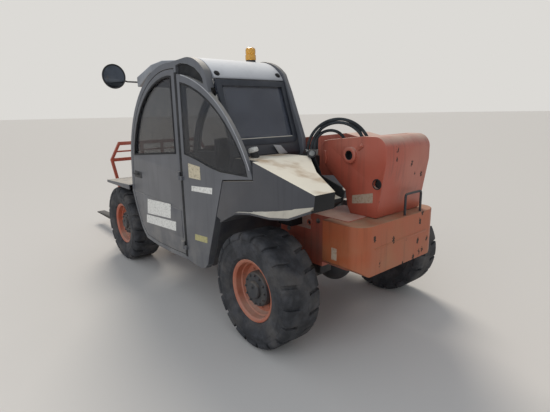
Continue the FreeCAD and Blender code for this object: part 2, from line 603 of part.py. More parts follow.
def cylinder(name, start, end, barrel_radius, rod_radius, barrel_length, rod_start, eye_radius,
             eye_half, neck, retract):
    x0, z0 = start
    x1, z1 = end
    angle = "atan2(-((%s) - (%s)); (%s) - (%s))" % (z1, z0, x1, x0)
    span = "sqrt(((%s) - (%s))^2 + ((%s) - (%s))^2)" % (x1, x0, z1, z0)

    def along(kind, radius, first, length):
        """Cylinder along the line between the pins."""
        item = doc.addObject("PartDesign::Body", "%s_%s" % (name, kind))
        sketch = outline(item, "%s_%s_outline" % (name, kind), "YZ_Plane", [], [("0", "0", radius)])
        pad = item.newObject("PartDesign::Pad", "%s_%s_pad" % (name, kind))
        pad.Profile = sketch
        bind(pad, "Length", length)
        turn(item, (0, 1, 0), angle)
        return place(item, "%s + (%s) * cos(%s)" % (x0, first, angle), "boom_y",
                     "%s - (%s) * sin(%s)" % (z0, first, angle))

    def eye(kind, x, z):
        """Round eye across the boom with its pin."""
        return rod("%s_%s" % (name, kind), "y", eye_radius, "2 * (%s)" % eye_half, x,
                   "boom_y - (%s)" % eye_half, z)

    barrel = fuse(name + "_barrel_body", [
        along("neck", eye_half + " - 1", "0", neck + " + 5"),
        along("tube", barrel_radius, neck, "%s - %s" % (barrel_length, neck)),
        along("gland", barrel_radius + " + 5", barrel_length + " - 50", "50"),
        eye("base_eye", x0, z0)])
    bore = along("bore", rod_radius + " + rod_clearance", "%s - %s - 8" % (rod_start, retract),
                 "%s - %s + %s + 30" % (barrel_length, rod_start, retract))
    keep(cut(name + "_barrel", barrel, [bore]), name + "_barrel")
    keep(fuse(name + "_rod", [along("stem", rod_radius, rod_start, "%s - %s" % (span, rod_start)),
                              eye("rod_eye", x1, z1)]), name + "_rod")


HEAD = boom_point("head_reach", "-head_drop")
cylinder("lift", ("lift_base_x", "lift_base_z"), boom_point("lift_eye_along", "-lift_eye_drop"),
         "lift_barrel_radius", "lift_rod_radius", "lift_barrel_length", "lift_rod_start",
         "lift_eye_radius", "eye_half_width", "lift_neck", "0")
cylinder("tilt", boom_point("tilt_base_along", "tilt_base_up"),
         (HEAD[0] + " + tilt_pin_x", HEAD[1] + " + tilt_pin_z"),
         "tilt_barrel_radius", "tilt_rod_radius", "tilt_barrel_length", "tilt_rod_start",
         "tilt_eye_radius", "tilt_eye_half", "tilt_neck", "tilt_retract")


# Fork carriage: two cross bars, pivot ears, tilt lugs and the load backrest
def carriage():
    back, face = HEAD[0] + " + carriage_back_x", HEAD[0] + " + carriage_face_x"
    pieces = []
    for name, low in (("low", "carriage_low_z"), ("high", "carriage_high_z - carriage_bar")):
        pieces.append(box("carriage_bar_" + name, face + " - 46", "-carriage_half_width", low,
                          "46", "2 * carriage_half_width", "carriage_bar"))
    inner = "boom_width / 2 - boom_wall - inner_gap + lug_gap"
    for name, y in (("left", "boom_y + %s" % inner), ("right", "boom_y - (%s) - 22" % inner)):
        rows = [(back, "carriage_low_z", 0), (face + " - 46", "carriage_low_z", 0),
                (face + " - 46", "carriage_high_z", 0), (back, "carriage_high_z", 0),
                (HEAD[0] + " - 58", HEAD[1] + " + 60", 0), (HEAD[0] + " - 58", HEAD[1] + " - 20", 0)]
        pieces.append(slab("carriage_ear_" + name, "XZ_Plane", rows, "22", y + " + 11"))
    pieces.append(rod("carriage_pin", "y", "head_pin_radius", "2 * (%s) + 40" % inner, HEAD[0],
                      "boom_y - (%s) - 20" % inner, HEAD[1]))
    for name, y in (("left", "boom_y + tilt_eye_half + lug_gap"),
                    ("right", "boom_y - tilt_eye_half - lug_gap - lug_wall")):
        pieces.append(box("carriage_lug_" + name, HEAD[0] + " + tilt_pin_x - 36", y,
                          HEAD[1] + " + tilt_pin_z - 40",
                          "carriage_face_x - tilt_pin_x + 36 - 20", "lug_wall", "80"))
    pieces.append(box("carriage_spine", face + " - 46", "boom_y - 60", "carriage_low_z", "46",
                      "120", "carriage_high_z - carriage_low_z"))
    for index, side in enumerate((-1, 1)):
        y = "%d * carriage_half_width %s" % (side, "- 40" if side > 0 else "")
        pieces.append(box("carriage_side_%d" % index, face + " - 46", y, "carriage_low_z", "46",
                          "40", "carriage_high_z - carriage_low_z"))
    for index, side in enumerate((-1, 1)):
        rows = [(signed(side, y), z, 0) for y, z in (
            ("carriage_half_width", "carriage_high_z - 20"), ("670", "850"), ("710", "1080"),
            ("backrest_half_width", "backrest_top_z"),
            ("backrest_half_width - backrest_bar", "backrest_top_z"),
            ("710 - backrest_bar", "1080"), ("670 - backrest_bar", "850"),
            ("carriage_half_width - backrest_bar", "carriage_high_z - 20"))]
        pieces.append(slab("backrest_side_%d" % index, "YZ_Plane", rows, "30", face + " - 31"))
    for index, share in enumerate((-0.5, 0, 0.5)):
        y = "%s * (backrest_half_width - backrest_bar / 2) - backrest_bar / 2" % share
        pieces.append(box("backrest_post_%d" % index, face + " - 46", y,
                          "carriage_high_z - 20", "30", "backrest_bar",
                          "backrest_top_z - carriage_high_z + 20"))
    for index, (z, half, height) in enumerate((
            # low edge, half length and height of each rail
            ("backrest_top_z - 45", "backrest_half_width", "45"), ("1168", "640", "20"),
            ("1055", "695", "42"))):
        pieces.append(box("backrest_rail_%d" % index, face + " - 46", "-(%s)" % half, z, "30",
                          "2 * (%s)" % half, height))
    keep(fuse("carriage", pieces), "carriage")


def forks():
    face = HEAD[0] + " + carriage_face_x"
    rows = [(face, "fork_bottom_z", 0), (face + " + fork_length", "fork_bottom_z", 0),
            (face + " + fork_length", "fork_bottom_z + fork_tip", 0),
            (face + " + fork_length * 0.45", "fork_bottom_z + fork_thick", 0),
            (face + " + fork_thick", "fork_bottom_z + fork_thick", 0),
            (face + " + fork_thick", "fork_shank_top_z", 0), (face, "fork_shank_top_z", 0)]
    pair = [slab("fork_%d" % index, "XZ_Plane", rows, "fork_width", "%d * fork_y" % side)
            for index, side in enumerate((-1, 1))]
    both = doc.addObject("Part::Compound", "forks")
    both.Links = pair
    keep(both, "forks")


carriage()
forks()

# Cab outlines: corners of the left side as rows of (x, z, arc radius), and the
# way the door's edge steps back from each corner of its opening
LEFT_SIDE = [
    ("-36", "1212", 0), ("326", "1169", 0), ("572", "521", 0), ("640", "400", 0),
    ("711", "381", 0), ("812", "381", 0), ("946", "392", 0), ("1199", "378", 0),
    ("1519", "371", 0), ("1809", "391", 0), ("1915", "480", 0), ("2030", "692", 0),
    ("2095", "852", 0), ("2055", "1199", 0), ("1015", "2044", "front_arc_radius"),
    ("770", "roof_top_z", 0), ("500", "1935", "roof_bend"), ("466", "1830", 0),
    ("-30", "1240", "rear_arc_radius"),
]
DOOR_OPENING = [
    # x, z, arc radius, step in x, step in z
    ("965", "430", 0, 1, 1), ("1199", "416", 0, 0, 1), ("1519", "409", 0, 0, 1),
    ("1793", "427", 0, -1, 1), ("1890", "514", 0, -1, 0), ("1998", "712", 0, -1, 0),
    ("2050", "856", 0, -1, 0),
    ("2008", "1199", 0, -1, 0), ("1045", "1996", "front_arc_radius - frame_bar", 0, -1),
    ("965", "1992", 0, 1, -1),
]
DOOR_WINDOW = [
    ("1030", "1310", 0), ("1955", "1235", 0), ("1085", "1945", "front_arc_radius - 95"),
    ("1030", "1940", 0),
]
QUARTER_WINDOW = [
    ("40", "1249", 0), ("416", "1256", 0), ("700", "1300", 0), ("885", "1360", 0),
    ("885", "1918", 0), ("40", "1256", "quarter_arc_radius"),
]
CORNER_RECESS = [
    ("560", "1885", 0), ("710", "1938", 0), ("930", "1978", 0), ("930", "2004", 0),
    ("780", "2010", 0), ("560", "1915", "roof_bend - frame_bar"),
]
RIGHT_SIDE = [
    ("600", "floor_z", 0), ("1835", "floor_z", 0), ("1960", "596", 0), ("2095", "852", 0),
    ("2055", "1199", 0), ("1015", "2044", "front_arc_radius"), ("800", "2061", 0),
    ("465", "1940", "rail_bend"), ("394", "1797", 0), ("240", "1441", 0), ("228", "1335", 0),
    ("326", "1169", 0),
]
RIGHT_WINDOW = [
    ("380", "1310", 0), ("1970", "1225", 0), ("1040", "1990", "front_arc_radius - 65"),
    ("680", "1980", 0), ("560", "1880", 0),
]
LEFT_MIDDLE = "cab_left_y - cab_left_wall / 2"
RIGHT_MIDDLE = "cab_right_y + cab_right_wall / 2"
INNER_WIDTH = ("cab_left_y - cab_left_wall - cab_right_y - cab_right_wall - 2 * seat_clearance")
INNER_MIDDLE = "(cab_left_y - cab_left_wall + cab_right_y + cab_right_wall) / 2"


def inset(rows, step):
    """Rows with each corner moved by its own step times a distance."""
    return [("%s + %d * (%s)" % (x, dx, step), "%s + %d * (%s)" % (z, dz, step),
             ("%s - (%s)" % (radius, step)) if radius else 0)
            for x, z, radius, dx, dz in rows]


def pane(name, rows, middle):
    """Sheet of glass with the outline of its window."""
    return slab(name, "XZ_Plane", rows, "glass_wall", middle)


def hinges(name, sign, foot):
    """Both hinge knuckles of the pillar (sign -1) or of the door (sign 1) above it."""
    pieces = []
    for index, z in enumerate(("hinge_low_z", "hinge_high_z")):
        low = z + (" - hinge_knuckle" if sign < 0 else " + running_gap")
        start = "hinge_x - 45" if sign < 0 else "hinge_x"
        pieces.append(rod("%s_knuckle_%d" % (name, index), "z", "hinge_radius", "hinge_knuckle",
                          "hinge_x", "cab_left_y + hinge_out", low))
        pieces.append(box("%s_strap_%d" % (name, index), start, foot, low, "45",
                          "cab_left_y + hinge_out + 4 - (%s)" % foot, "hinge_knuckle"))
    return pieces


def cab():
    left = slab("left_wall", "XZ_Plane", LEFT_SIDE, "cab_left_wall", LEFT_MIDDLE)
    window(left, "door_opening", "XZ_Plane", [row[:3] for row in DOOR_OPENING],
           "cab_left_wall + 2")
    window(left, "quarter_opening", "XZ_Plane", QUARTER_WINDOW, "cab_left_wall + 2")
    recess = slab("corner_recess", "XZ_Plane", CORNER_RECESS, "corner_recess + 2",
                  "cab_left_y - (corner_recess - 2) / 2")
    keep(fuse("cab_side_left", [cut("left_shell", left, [recess])]
              + hinges("pillar", -1, "cab_left_y - 4")), "cab_side_left")
    right = slab("cab_side_right", "XZ_Plane", RIGHT_SIDE, "cab_right_wall", RIGHT_MIDDLE)
    window(right, "right_opening", "XZ_Plane", RIGHT_WINDOW, "cab_right_wall + 2")
    keep(right, "cab_side_right")
    tub = [("262", "1330", 0), ("326", "1169", 0), ("612", "floor_z", 0), ("1835", "floor_z", 0),
           ("1955", "600", 0), ("2090", "852", 0), ("2080", "960", 0), ("2050", "960", 0),
           ("2056", "860", 0), ("1925", "620", 0), ("1815", "floor_z + floor_wall", 0),
           ("645", "floor_z + floor_wall", 0), ("362", "1180", 0), ("294", "1330", 0),
           ("334", "rear_sill_z", 0), ("300", "rear_sill_z", 0)]
    keep(slab("cab_tub", "XZ_Plane", tub, INNER_WIDTH, INNER_MIDDLE), "cab_tub")
    roof = [("495", "1880", 0), ("770", "roof_top_z - roof_wall", "-(roof_bend - roof_wall)"),
            ("1015", "roof_top_z - roof_wall", 0), ("1290", "2046", 0), ("1335", "1966", 0),
            ("1352", "1960", 0), ("1395", "2010", 0), ("1560", "2002", 0),
            ("visor_x - 40", "1898", 0), ("visor_x", "1898", 0), ("visor_x", "1990", 0),
            ("1520", "2074", 0), ("1290", "2088", 0), ("900", "roof_top_z", 0),
            ("770", "roof_top_z", 0), ("455", "1885", "roof_bend")]
    keep(slab("cab_roof", "XZ_Plane", roof, INNER_WIDTH, INNER_MIDDLE), "cab_roof")
    sill = "rear_sill_z + 0.5"
    rear = [("312", sill, 0), ("320", sill, 0), ("478", "1880", 0), ("470", "1880", 0)]
    screen = [("2060", "961", 0), ("2066", "961", 0), ("2046", "1196", 0),
              ("1352", "1955", "front_arc_radius - 8"), ("1348", "1949", 0),
              ("2038", "1195", "-(front_arc_radius - 14)")]
    panes = [pane("glass_quarter", QUARTER_WINDOW, LEFT_MIDDLE),
             pane("glass_right", RIGHT_WINDOW, RIGHT_MIDDLE),
             slab("glass_rear", "XZ_Plane", rear, INNER_WIDTH, INNER_MIDDLE),
             slab("glass_front", "XZ_Plane", screen, INNER_WIDTH, INNER_MIDDLE)]
    glass = doc.addObject("Part::Compound", "cab_glass")
    glass.Links = panes
    keep(glass, "cab_glass")


def door():
    middle = "cab_left_y - door_stand - door_wall / 2"
    panel = slab("door_leaf", "XZ_Plane", inset(DOOR_OPENING, "door_gap"), "door_wall", middle)
    window(panel, "door_window", "XZ_Plane", DOOR_WINDOW, "door_wall + 2")
    leaf = hinges("leaf", 1, "cab_left_y - door_stand - 4")
    keep(fuse("door_panel", [panel] + leaf), "door_panel")
    keep(pane("door_glass", DOOR_WINDOW, middle), "door_glass")


def furniture():
    base = "floor_z + floor_wall"
    plinth = box("seat_plinth", "seat_x + 60", "seat_y - seat_width / 2 + 50", base,
                 "seat_length - 120", "seat_width - 100",
                 "seat_top_z - cushion_wall - (%s)" % base)
    cushion = box("seat_cushion", "seat_x", "seat_y - seat_width / 2",
                  "seat_top_z - cushion_wall", "seat_length", "seat_width", "cushion_wall")
    back = box("seat_back", "seat_x", "seat_y - seat_width / 2", "seat_top_z - 20",
               "seat_back_wall", "seat_width", "seat_back_top_z - seat_top_z + 20")
    keep(fuse("seat", [plinth, cushion, back]), "seat")
    column = doc.addObject("Part::Cylinder", "console_column")
    bind(column, "Radius", "column_radius")
    bind(column, "Height", "column_length - 40")
    turn(column, (0, 1, 0), "-column_rake")
    place(column, "column_x + column_length * sin(column_rake)", "seat_y",
          "column_z - column_length * cos(column_rake)")
    stand = box("console_stand", "1745", "seat_y - 130", base, "60", "260", "380")
    side = box("console_side", "700", "cab_right_y + cab_right_wall + seat_clearance", base,
               "760", "80", "470")
    foot = box("console_foot", "700", "cab_right_y + cab_right_wall + seat_clearance", base,
               "1075", "60", "20")
    shelf = box("console_shelf", "1745", "cab_right_y + cab_right_wall + seat_clearance", base,
                "60", "seat_y - cab_right_y - cab_right_wall", "20")
    keep(fuse("console", [column, stand, side, foot, shelf]), "console")
    hoop = doc.addObject("Part::Torus", "steering_wheel_hoop")
    bind(hoop, "Radius1", "wheel_rim_radius")
    bind(hoop, "Radius2", "wheel_grip_radius")
    hub = doc.addObject("Part::Cylinder", "steering_wheel_hub")
    bind(hub, "Radius", "column_radius + 12")
    bind(hub, "Height", "24")
    spokes = []
    for index, angle in enumerate((90, 210, 330)):
        spoke = doc.addObject("Part::Box", "steering_wheel_spoke_%d" % index)
        bind(spoke, "Length", "wheel_rim_radius")
        bind(spoke, "Width", "24")
        bind(spoke, "Height", "10")
        spoke.Placement.Rotation = FreeCAD.Rotation(FreeCAD.Vector(0, 0, 1), angle)
        offset = spoke.Placement.Rotation.multVec(FreeCAD.Vector(0, -12, -5))
        spoke.Placement.Base = offset
        spokes.append(spoke)
    wheel = fuse("steering_wheel", [hoop, hub] + spokes)
    turn(wheel, (0, 1, 0), "-column_rake")
    keep(place(wheel, "column_x + 34 * sin(column_rake)", "seat_y",
               "column_z - 34 * cos(column_rake)"), "steering_wheel")


cab()
door()
furniture()


# Fenders
def rear_left_fender():
    outer = [("-45", "1330", 0), ("-610", "1190", 0), ("-600", "1090", 0), ("-570", "1085", 0),
             ("-405", "1020", 0), ("-220", "990", 0), ("0", "980", 0), ("135", "950", 0),
             ("340", "850", 0), ("425", "880", 0), ("318", "1160", 0), ("-45", "1204", 0)]
    inner = [("-45", "1330", 0), ("-45", "1000", 0), ("135", "950", 0), ("395", "940", 0),
             ("318", "1160", 0), ("255", "1325", 0)]
    plan = [("-620", "862", 0), ("-620", "700", 0), ("-330", "560", 0), ("-100", "385", 0),
            ("-20", "350", 0), ("430", "350", 0), ("430", "862", 0)]
    side = slab("fender_side", "XZ_Plane", outer, "500", "cab_left_y - 250")
    core = slab("fender_core", "XZ_Plane", inner, "450", "cab_left_y - cab_left_wall - 5 - 225")
    block = slab("fender_plan", "XY_Plane", plan, "600", "1100")
    shaped = common("fender_shaped", fuse("fender_mass", [side, core]), block)
    leg = box("fender_leg", "90", "frame_half_width - 60", "frame_top_z", "150", "120",
              "1000 - frame_top_z")
    plate = box("fender_bulkhead", "-30", "220", "1240", "90", "135", "80")
    edge = [("-612", "1096"), ("-419", "1016"), ("-251", "989"), ("-43", "981"), ("132", "954"),
            ("330", "856")]
    lip_rows = [(x, z, 0) for x, z in edge] + [(x, z + " + lip_wall", 0) for x, z in edge[::-1]]
    lip = slab("fender_lip", "XZ_Plane", lip_rows, "lip_width + 4",
               "cab_left_y + (lip_width - 4) / 2")
    shield_rows = [("120", "960", 0), ("120", "1300", 0), ("-70", "1372", 0), ("-105", "1340", 0),
                   ("-138", "1280", 0), ("-178", "1202", 0), ("-361", "1143", 0),
                   ("-391", "1111", 0), ("-375", "1041", 0), ("-304", "989", 0)]
    shield = slab("fender_shield", "XZ_Plane", shield_rows, "fender_wall",
                  "fender_shield_y + fender_wall / 2")
    floor_rows = [("-20", "1180", 0), ("-170", "1120", 0), ("-372", "1070", 0),
                  ("-372", "1045", 0), ("-304", "1000", 0), ("-20", "985", 0)]
    closure = slab("fender_closure", "XZ_Plane", floor_rows, "340",
                   "fender_shield_y + 5 + 170")
    keep(fuse("fender_rear_left", [shaped, leg, plate, lip, shield, closure]),
         "fender_rear_left")


def guard(name, rear_x, front_x, rear_z, front_z, side, post_x):
    """Sheet guard over a wheel with an outer skirt and a bracket from the chassis."""
    rows = [(rear_x, rear_z, 0), (front_x, front_z, 0), (front_x, front_z + " + fender_wall", 0),
            (rear_x, rear_z + " + fender_wall", 0)]
    width = "fender_outer_y - fender_inner_y"
    top = slab(name + "_top", "XZ_Plane", rows, width,
               signed(side, "(fender_outer_y + fender_inner_y) / 2"))
    skirt_rows = [(rear_x, "862", 0), (front_x, "862", 0), (front_x, front_z, 0),
                  (rear_x, rear_z, 0)]
    skirt = slab(name + "_skirt", "XZ_Plane", skirt_rows, "fender_wall",
                 signed(side, "fender_outer_y - fender_wall / 2"))
    low = "240" if side > 0 else "-fender_inner_y - 20"
    arm = box(name + "_arm", post_x, low, "866", "90", "fender_inner_y + 20 - 240", "24")
    post_y = "240" if side > 0 else "-280"
    post = box(name + "_post", post_x, post_y, "frame_top_z", "90", "40", "890 - frame_top_z")
    hanger_y = "fender_inner_y" if side > 0 else "-fender_inner_y - 20"
    hanger = box(name + "_hanger", post_x, hanger_y, "866", "90", "20",
                 "%s + (%s - (%s)) * (%s + 90 - (%s)) / (%s - (%s)) - 866 + 3" % (
                     rear_z, front_z, rear_z, post_x, rear_x, front_x, rear_x))
    return fuse(name, [top, skirt, arm, post, hanger])


def guards():
    pair = [guard("guard_front_left", "2110", "2800", "902", "878", 1, "2180"),
            guard("guard_front_right", "2110", "2800", "902", "878", -1, "2180")]
    both = doc.addObject("Part::Compound", "fenders_front")
    both.Links = pair
    keep(both, "fenders_front")
    keep(guard("fender_rear_right", "-230", "420", "900", "900", -1, "60"), "fender_rear_right")


rear_left_fender()
guards()


# Engine bay on the right, with its lid
def engine():
    inner = "frame_half_width + seat_clearance"
    length = "bay_front_x - bay_rear_x"
    width = "bay_outer_y - (%s)" % inner
    shell = box("bay_shell", "bay_rear_x", "-bay_outer_y", "bay_floor_z", length, width,
                "bay_top_z - bay_floor_z")
    room = box("bay_room", "bay_rear_x + bay_wall", "-bay_outer_y + bay_wall",
               "bay_floor_z + bay_wall", length + " - 2 * bay_wall", width + " - 2 * bay_wall",
               "bay_top_z - bay_floor_z")
    wall = box("bay_inner_wall", "bay_rear_x", "-(%s) - bay_wall" % inner, "bay_top_z", length,
               "bay_wall", "hood_top_z - bay_top_z - hood_slope")
    keep(fuse("engine_bay", [cut("bay_tub", shell, [room]), wall]), "engine_bay")
    block = box("engine_block", "engine_x", "engine_y", "bay_floor_z + bay_wall",
                "engine_length", "engine_width", "engine_height")
    keep(block, "engine_block")
    low = "bay_top_z + hood_seat_gap"
    rows = [("bay_rear_x", low, 0), ("bay_front_x", low, 0),
            ("bay_front_x", "hood_top_z - hood_slope", 0),
            ("bay_front_x - 2 * hood_slope", "hood_top_z", 0), ("bay_rear_x + 60", "hood_top_z", 0)]
    room_rows = [("bay_rear_x + bay_wall + 4", low + " - 5", 0),
                 ("bay_front_x - bay_wall", low + " - 5", 0),
                 ("bay_front_x - bay_wall", "hood_top_z - hood_slope - bay_wall", 0),
                 ("bay_front_x - 2 * hood_slope - bay_wall", "hood_top_z - bay_wall", 0),
                 ("bay_rear_x + 60 + bay_wall", "hood_top_z - bay_wall", 0)]
    edge = "(%s + bay_wall + hood_hinge_gap)" % inner
    middle = "-(bay_outer_y + %s) / 2" % edge
    lid = slab("hood_skin", "XZ_Plane", rows, "bay_outer_y - %s" % edge, middle)
    hollow = slab("hood_room", "XZ_Plane", room_rows, "bay_outer_y - %s" % edge,
                  middle + " + bay_wall")
    keep(cut("engine_hood", lid, [hollow]), "engine_hood")


engine()


# Fittings: beacon, mirror, lamps and hoses
def fittings():
    base = rod("beacon_base", "z", "beacon_base_radius", "beacon_base_height", "beacon_x",
               "beacon_y", "roof_top_z + seat_clearance")
    lens = rod("beacon_lens", "z", "beacon_radius", "beacon_height", "beacon_x", "beacon_y",
               "roof_top_z + seat_clearance + beacon_base_height")
    keep(fuse("beacon", [base, lens]), "beacon")
    glass = doc.addObject("Part::Cylinder", "mirror_head")
    bind(glass, "Radius", "mirror_radius")
    bind(glass, "Height", "mirror_depth")
    glass.Placement.Rotation = FreeCAD.Rotation(
        FreeCAD.Vector(0, 0, 1), size("mirror_turn")).multiply(AXES["x"])
    place(glass, "mirror_x", "mirror_y", "mirror_z")
    axle = size("rear_axle_x")
    elbow = FreeCAD.Vector(axle + size("mirror_x") + 108, 590, 2005)
    foot = FreeCAD.Vector(axle + size("visor_x") + 3, 740, 1942)
    head = FreeCAD.Vector(axle + size("mirror_x + mirror_depth") - 4, size("mirror_y"),
                          size("mirror_z"))
    arms = [glass]
    for name, start, end in (("arm", foot, elbow), ("hook", elbow, head)):
        arm = doc.addObject("Part::Feature", "mirror_" + name)
        arm.Shape = Part.makeCylinder(size("mirror_arm_radius"), (end - start).Length, start,
                                      end - start)
        arms.append(arm)
    keep(fuse("mirror", arms), "mirror")
    lamps = []
    for name, y in (("left", "lamp_y"), ("right", "-lamp_y - lamp_size")):
        lamps.append(box("lamp_" + name, "frame_front_x + seat_clearance", y, "lamp_z",
                         "lamp_depth", "lamp_size", "lamp_size"))
    both = doc.addObject("Part::Compound", "lamps")
    both.Links = lamps
    keep(both, "lamps")


def hoses():
    """Looped hoses from the bulkhead on the fender to the tower, as lines and arcs."""
    loops = []
    for index, (start_x, start_y, rise, end_x, end_y) in enumerate([
            # start x, start y, height of the arc's ends, end x, end y
            (-15, 262, 1388, -170, 88), (5, 276, 1360, -360, 98), (30, 290, 1354, -385, 78),
            (-12, 236, 1418, -296, 60)]):
        foot = FreeCAD.Vector(size("rear_axle_x") + start_x, start_y, 1320.3)
        end = FreeCAD.Vector(size("rear_axle_x") + end_x, end_y, rise - 5)
        up = FreeCAD.Vector(foot.x, foot.y, rise)
        down = FreeCAD.Vector(end.x, end.y, rise)
        middle = (up + down) * 0.5 + FreeCAD.Vector(0, 0, (down - up).Length / 2)
        path = Part.Wire([Part.LineSegment(foot, up).toShape(),
                          Part.Arc(up, middle, down).toShape(),
                          Part.LineSegment(down, end).toShape()])
        section = Part.Wire([Part.Circle(foot, FreeCAD.Vector(0, 0, 1), size("hose_radius")).toShape()])
        item = doc.addObject("Part::Feature", "hose_%d" % index)
        item.Shape = path.makePipeShell([section], True, True)
        loops.append(item)
    bundle = doc.addObject("Part::Compound", "hoses")
    bundle.Links = loops
    keep(bundle, "hoses")


fittings()
hoses()


# Build, check and write
doc.recompute()
for item in doc.Objects:
    if {"Invalid", "Error"} & set(item.State):
        raise RuntimeError("%s did not build: %s" % (item.Name, item.State))
os.makedirs("parts", exist_ok=True)
for item in PARTS:
    shape = item.Shape
    if shape.isNull() or not shape.isValid() or not shape.Solids:
        raise RuntimeError("%s has no valid shape" % item.Label)
    shape.exportStep("parts/%s.step" % item.Label)
    bounds = shape.BoundBox
    print("%-20s %2d solids %9.4f m3  x %7.0f %7.0f  y %6.0f %6.0f  z %6.0f %6.0f" % (
        item.Label, len(shape.Solids), shape.Volume / 1e9, bounds.XMin, bounds.XMax,
        bounds.YMin, bounds.YMax, bounds.ZMin, bounds.ZMax))
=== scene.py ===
"""Dressed model of a compact telehandler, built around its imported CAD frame."""

import logging
import math
from contextlib import contextmanager
from dataclasses import dataclass
from enum import Enum
from functools import cached_property
from typing import Iterable, Iterator, Optional, Sequence

import bpy
from mathutils import Matrix, Vector


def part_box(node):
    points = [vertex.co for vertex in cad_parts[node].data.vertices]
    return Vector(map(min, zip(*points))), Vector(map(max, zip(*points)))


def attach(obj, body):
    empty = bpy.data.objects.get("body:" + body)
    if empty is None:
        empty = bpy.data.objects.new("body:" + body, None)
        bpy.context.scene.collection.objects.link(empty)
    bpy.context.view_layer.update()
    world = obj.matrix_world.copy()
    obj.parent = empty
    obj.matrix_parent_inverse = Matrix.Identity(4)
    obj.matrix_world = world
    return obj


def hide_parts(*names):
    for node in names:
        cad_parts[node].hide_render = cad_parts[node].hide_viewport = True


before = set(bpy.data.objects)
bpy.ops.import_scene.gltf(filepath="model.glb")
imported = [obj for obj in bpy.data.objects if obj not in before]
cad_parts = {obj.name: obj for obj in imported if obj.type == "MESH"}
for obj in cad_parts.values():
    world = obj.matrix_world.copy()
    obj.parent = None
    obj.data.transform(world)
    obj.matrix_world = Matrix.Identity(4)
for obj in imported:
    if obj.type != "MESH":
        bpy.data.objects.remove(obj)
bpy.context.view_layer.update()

Flat = Sequence[tuple[float, float]]
Place = tuple[float, float, float]
Piece = bpy.types.Object
Socket = bpy.types.NodeSocket
HANDS = (("left", 1), ("right", -1))
LOG = logging.getLogger("telehandler")


def axle_x() -> float:
    """Returns: x of the rear axle in the row frame, in metres."""
    low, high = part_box("tyre_rear_left")
    return (low.x + high.x) / 2


REAR_AXLE = axle_x()


def along(x: float) -> float:
    """Returns: row frame x of a distance in front of the rear axle."""
    return REAR_AXLE + x


def placed(spot: Place) -> Vector:
    """Returns: row frame point of a place measured from the rear axle."""
    return Vector((along(spot[0]), spot[1], spot[2]))


# Small tools for shaping meshes

class Plane(Enum):
    """Plane that an outline lies in, named for what is seen in it."""
    SIDE = "side"
    PLAN = "plan"
    FRONT = "front"

    def at(self, across: float, up: float, depth: float) -> Vector:
        """Returns: the row frame point of an outline's corner at a depth."""
        if self is Plane.SIDE:
            return Vector((along(across), depth, up))
        if self is Plane.PLAN:
            return Vector((along(across), up, depth))
        return Vector((depth, across, up))

    def normal(self) -> Vector:
        """Returns: the direction in which a depth grows."""
        return {Plane.SIDE: Vector((0, 1, 0)), Plane.PLAN: Vector((0, 0, 1)),
                Plane.FRONT: Vector((1, 0, 0))}[self]


def only(piece: Piece) -> Piece:
    """Select one object alone and make it active. Returns: the object."""
    bpy.ops.object.select_all(action="DESELECT")
    piece.select_set(True)
    bpy.context.view_layer.objects.active = piece
    return piece


@contextmanager
def editing(piece: Piece) -> Iterator[None]:
    """Edit mode with the whole of a piece selected, while the block runs."""
    only(piece)
    bpy.ops.object.mode_set(mode="EDIT")
    bpy.ops.mesh.select_all(action="SELECT")
    yield
    bpy.ops.object.mode_set(mode="OBJECT")


def linked(name: str, data: bpy.types.ID) -> Piece:
    """Returns: a new object of the scene with the data."""
    piece = bpy.data.objects.new(name, data)
    bpy.context.scene.collection.objects.link(piece)
    return piece


def settled(piece: Piece, name: str) -> Piece:
    """Name a piece and move its place into its mesh. Returns: the piece."""
    piece.name = name
    only(piece)
    bpy.ops.object.transform_apply(location=True, rotation=True, scale=True)
    return piece


def worked(piece: Piece, kind: str, **settings: object) -> Piece:
    """Add a modifier with its settings and apply it.

    Args:
        piece: mesh object to change.
        kind: modifier type.
        settings: the modifier's own values.
    Returns: the piece.
    """
    only(piece)
    modifier = piece.modifiers.new(kind.title(), kind)
    for name, value in settings.items():
        setattr(modifier, name, value)
    bpy.ops.object.modifier_apply(modifier=modifier.name)
    return piece


def carved(piece: Piece, tool: Piece, operation: str = "DIFFERENCE") -> Piece:
    """Cut a piece with a tool, which is used up. Returns: the piece."""
    worked(piece, "BOOLEAN", operation=operation, object=tool, solver="EXACT")
    bpy.data.objects.remove(tool)
    return piece


def smooth(piece: Piece, angle: float = 38) -> Piece:
    """Shade a piece smooth up to an angle in degrees. Returns: the piece."""
    only(piece)
    bpy.ops.object.shade_smooth_by_angle(angle=math.radians(angle))
    return piece


def eased(piece: Piece, width: float, segments: int = 2,
          angle: float = 34) -> Piece:
    """Round the edges of a piece by a width in metres. Returns: the piece."""
    worked(piece, "BEVEL", width=width, segments=segments, limit_method="ANGLE",
           angle_limit=math.radians(angle), miter_outer="MITER_ARC")
    return smooth(piece)


def mended(piece: Piece, merge: float = 1e-5) -> Piece:
    """Merge doubles and turn all faces outwards. Returns: the piece."""
    with editing(piece):
        bpy.ops.mesh.remove_doubles(threshold=merge)
        bpy.ops.mesh.normals_make_consistent(inside=False)
    return piece


def block(name: str, low: Place, high: Place, ease: float = 0.004,
          segments: int = 2) -> Piece:
    """Eased block between two corners of the row frame. Returns: the block."""
    a, b = Vector(low), Vector(high)
    bpy.ops.object.select_all(action="DESELECT")
    bpy.ops.mesh.primitive_cube_add(size=1, location=(a + b) / 2)
    piece = bpy.context.active_object
    piece.scale = b - a
    return eased(settled(piece, name), ease, segments)


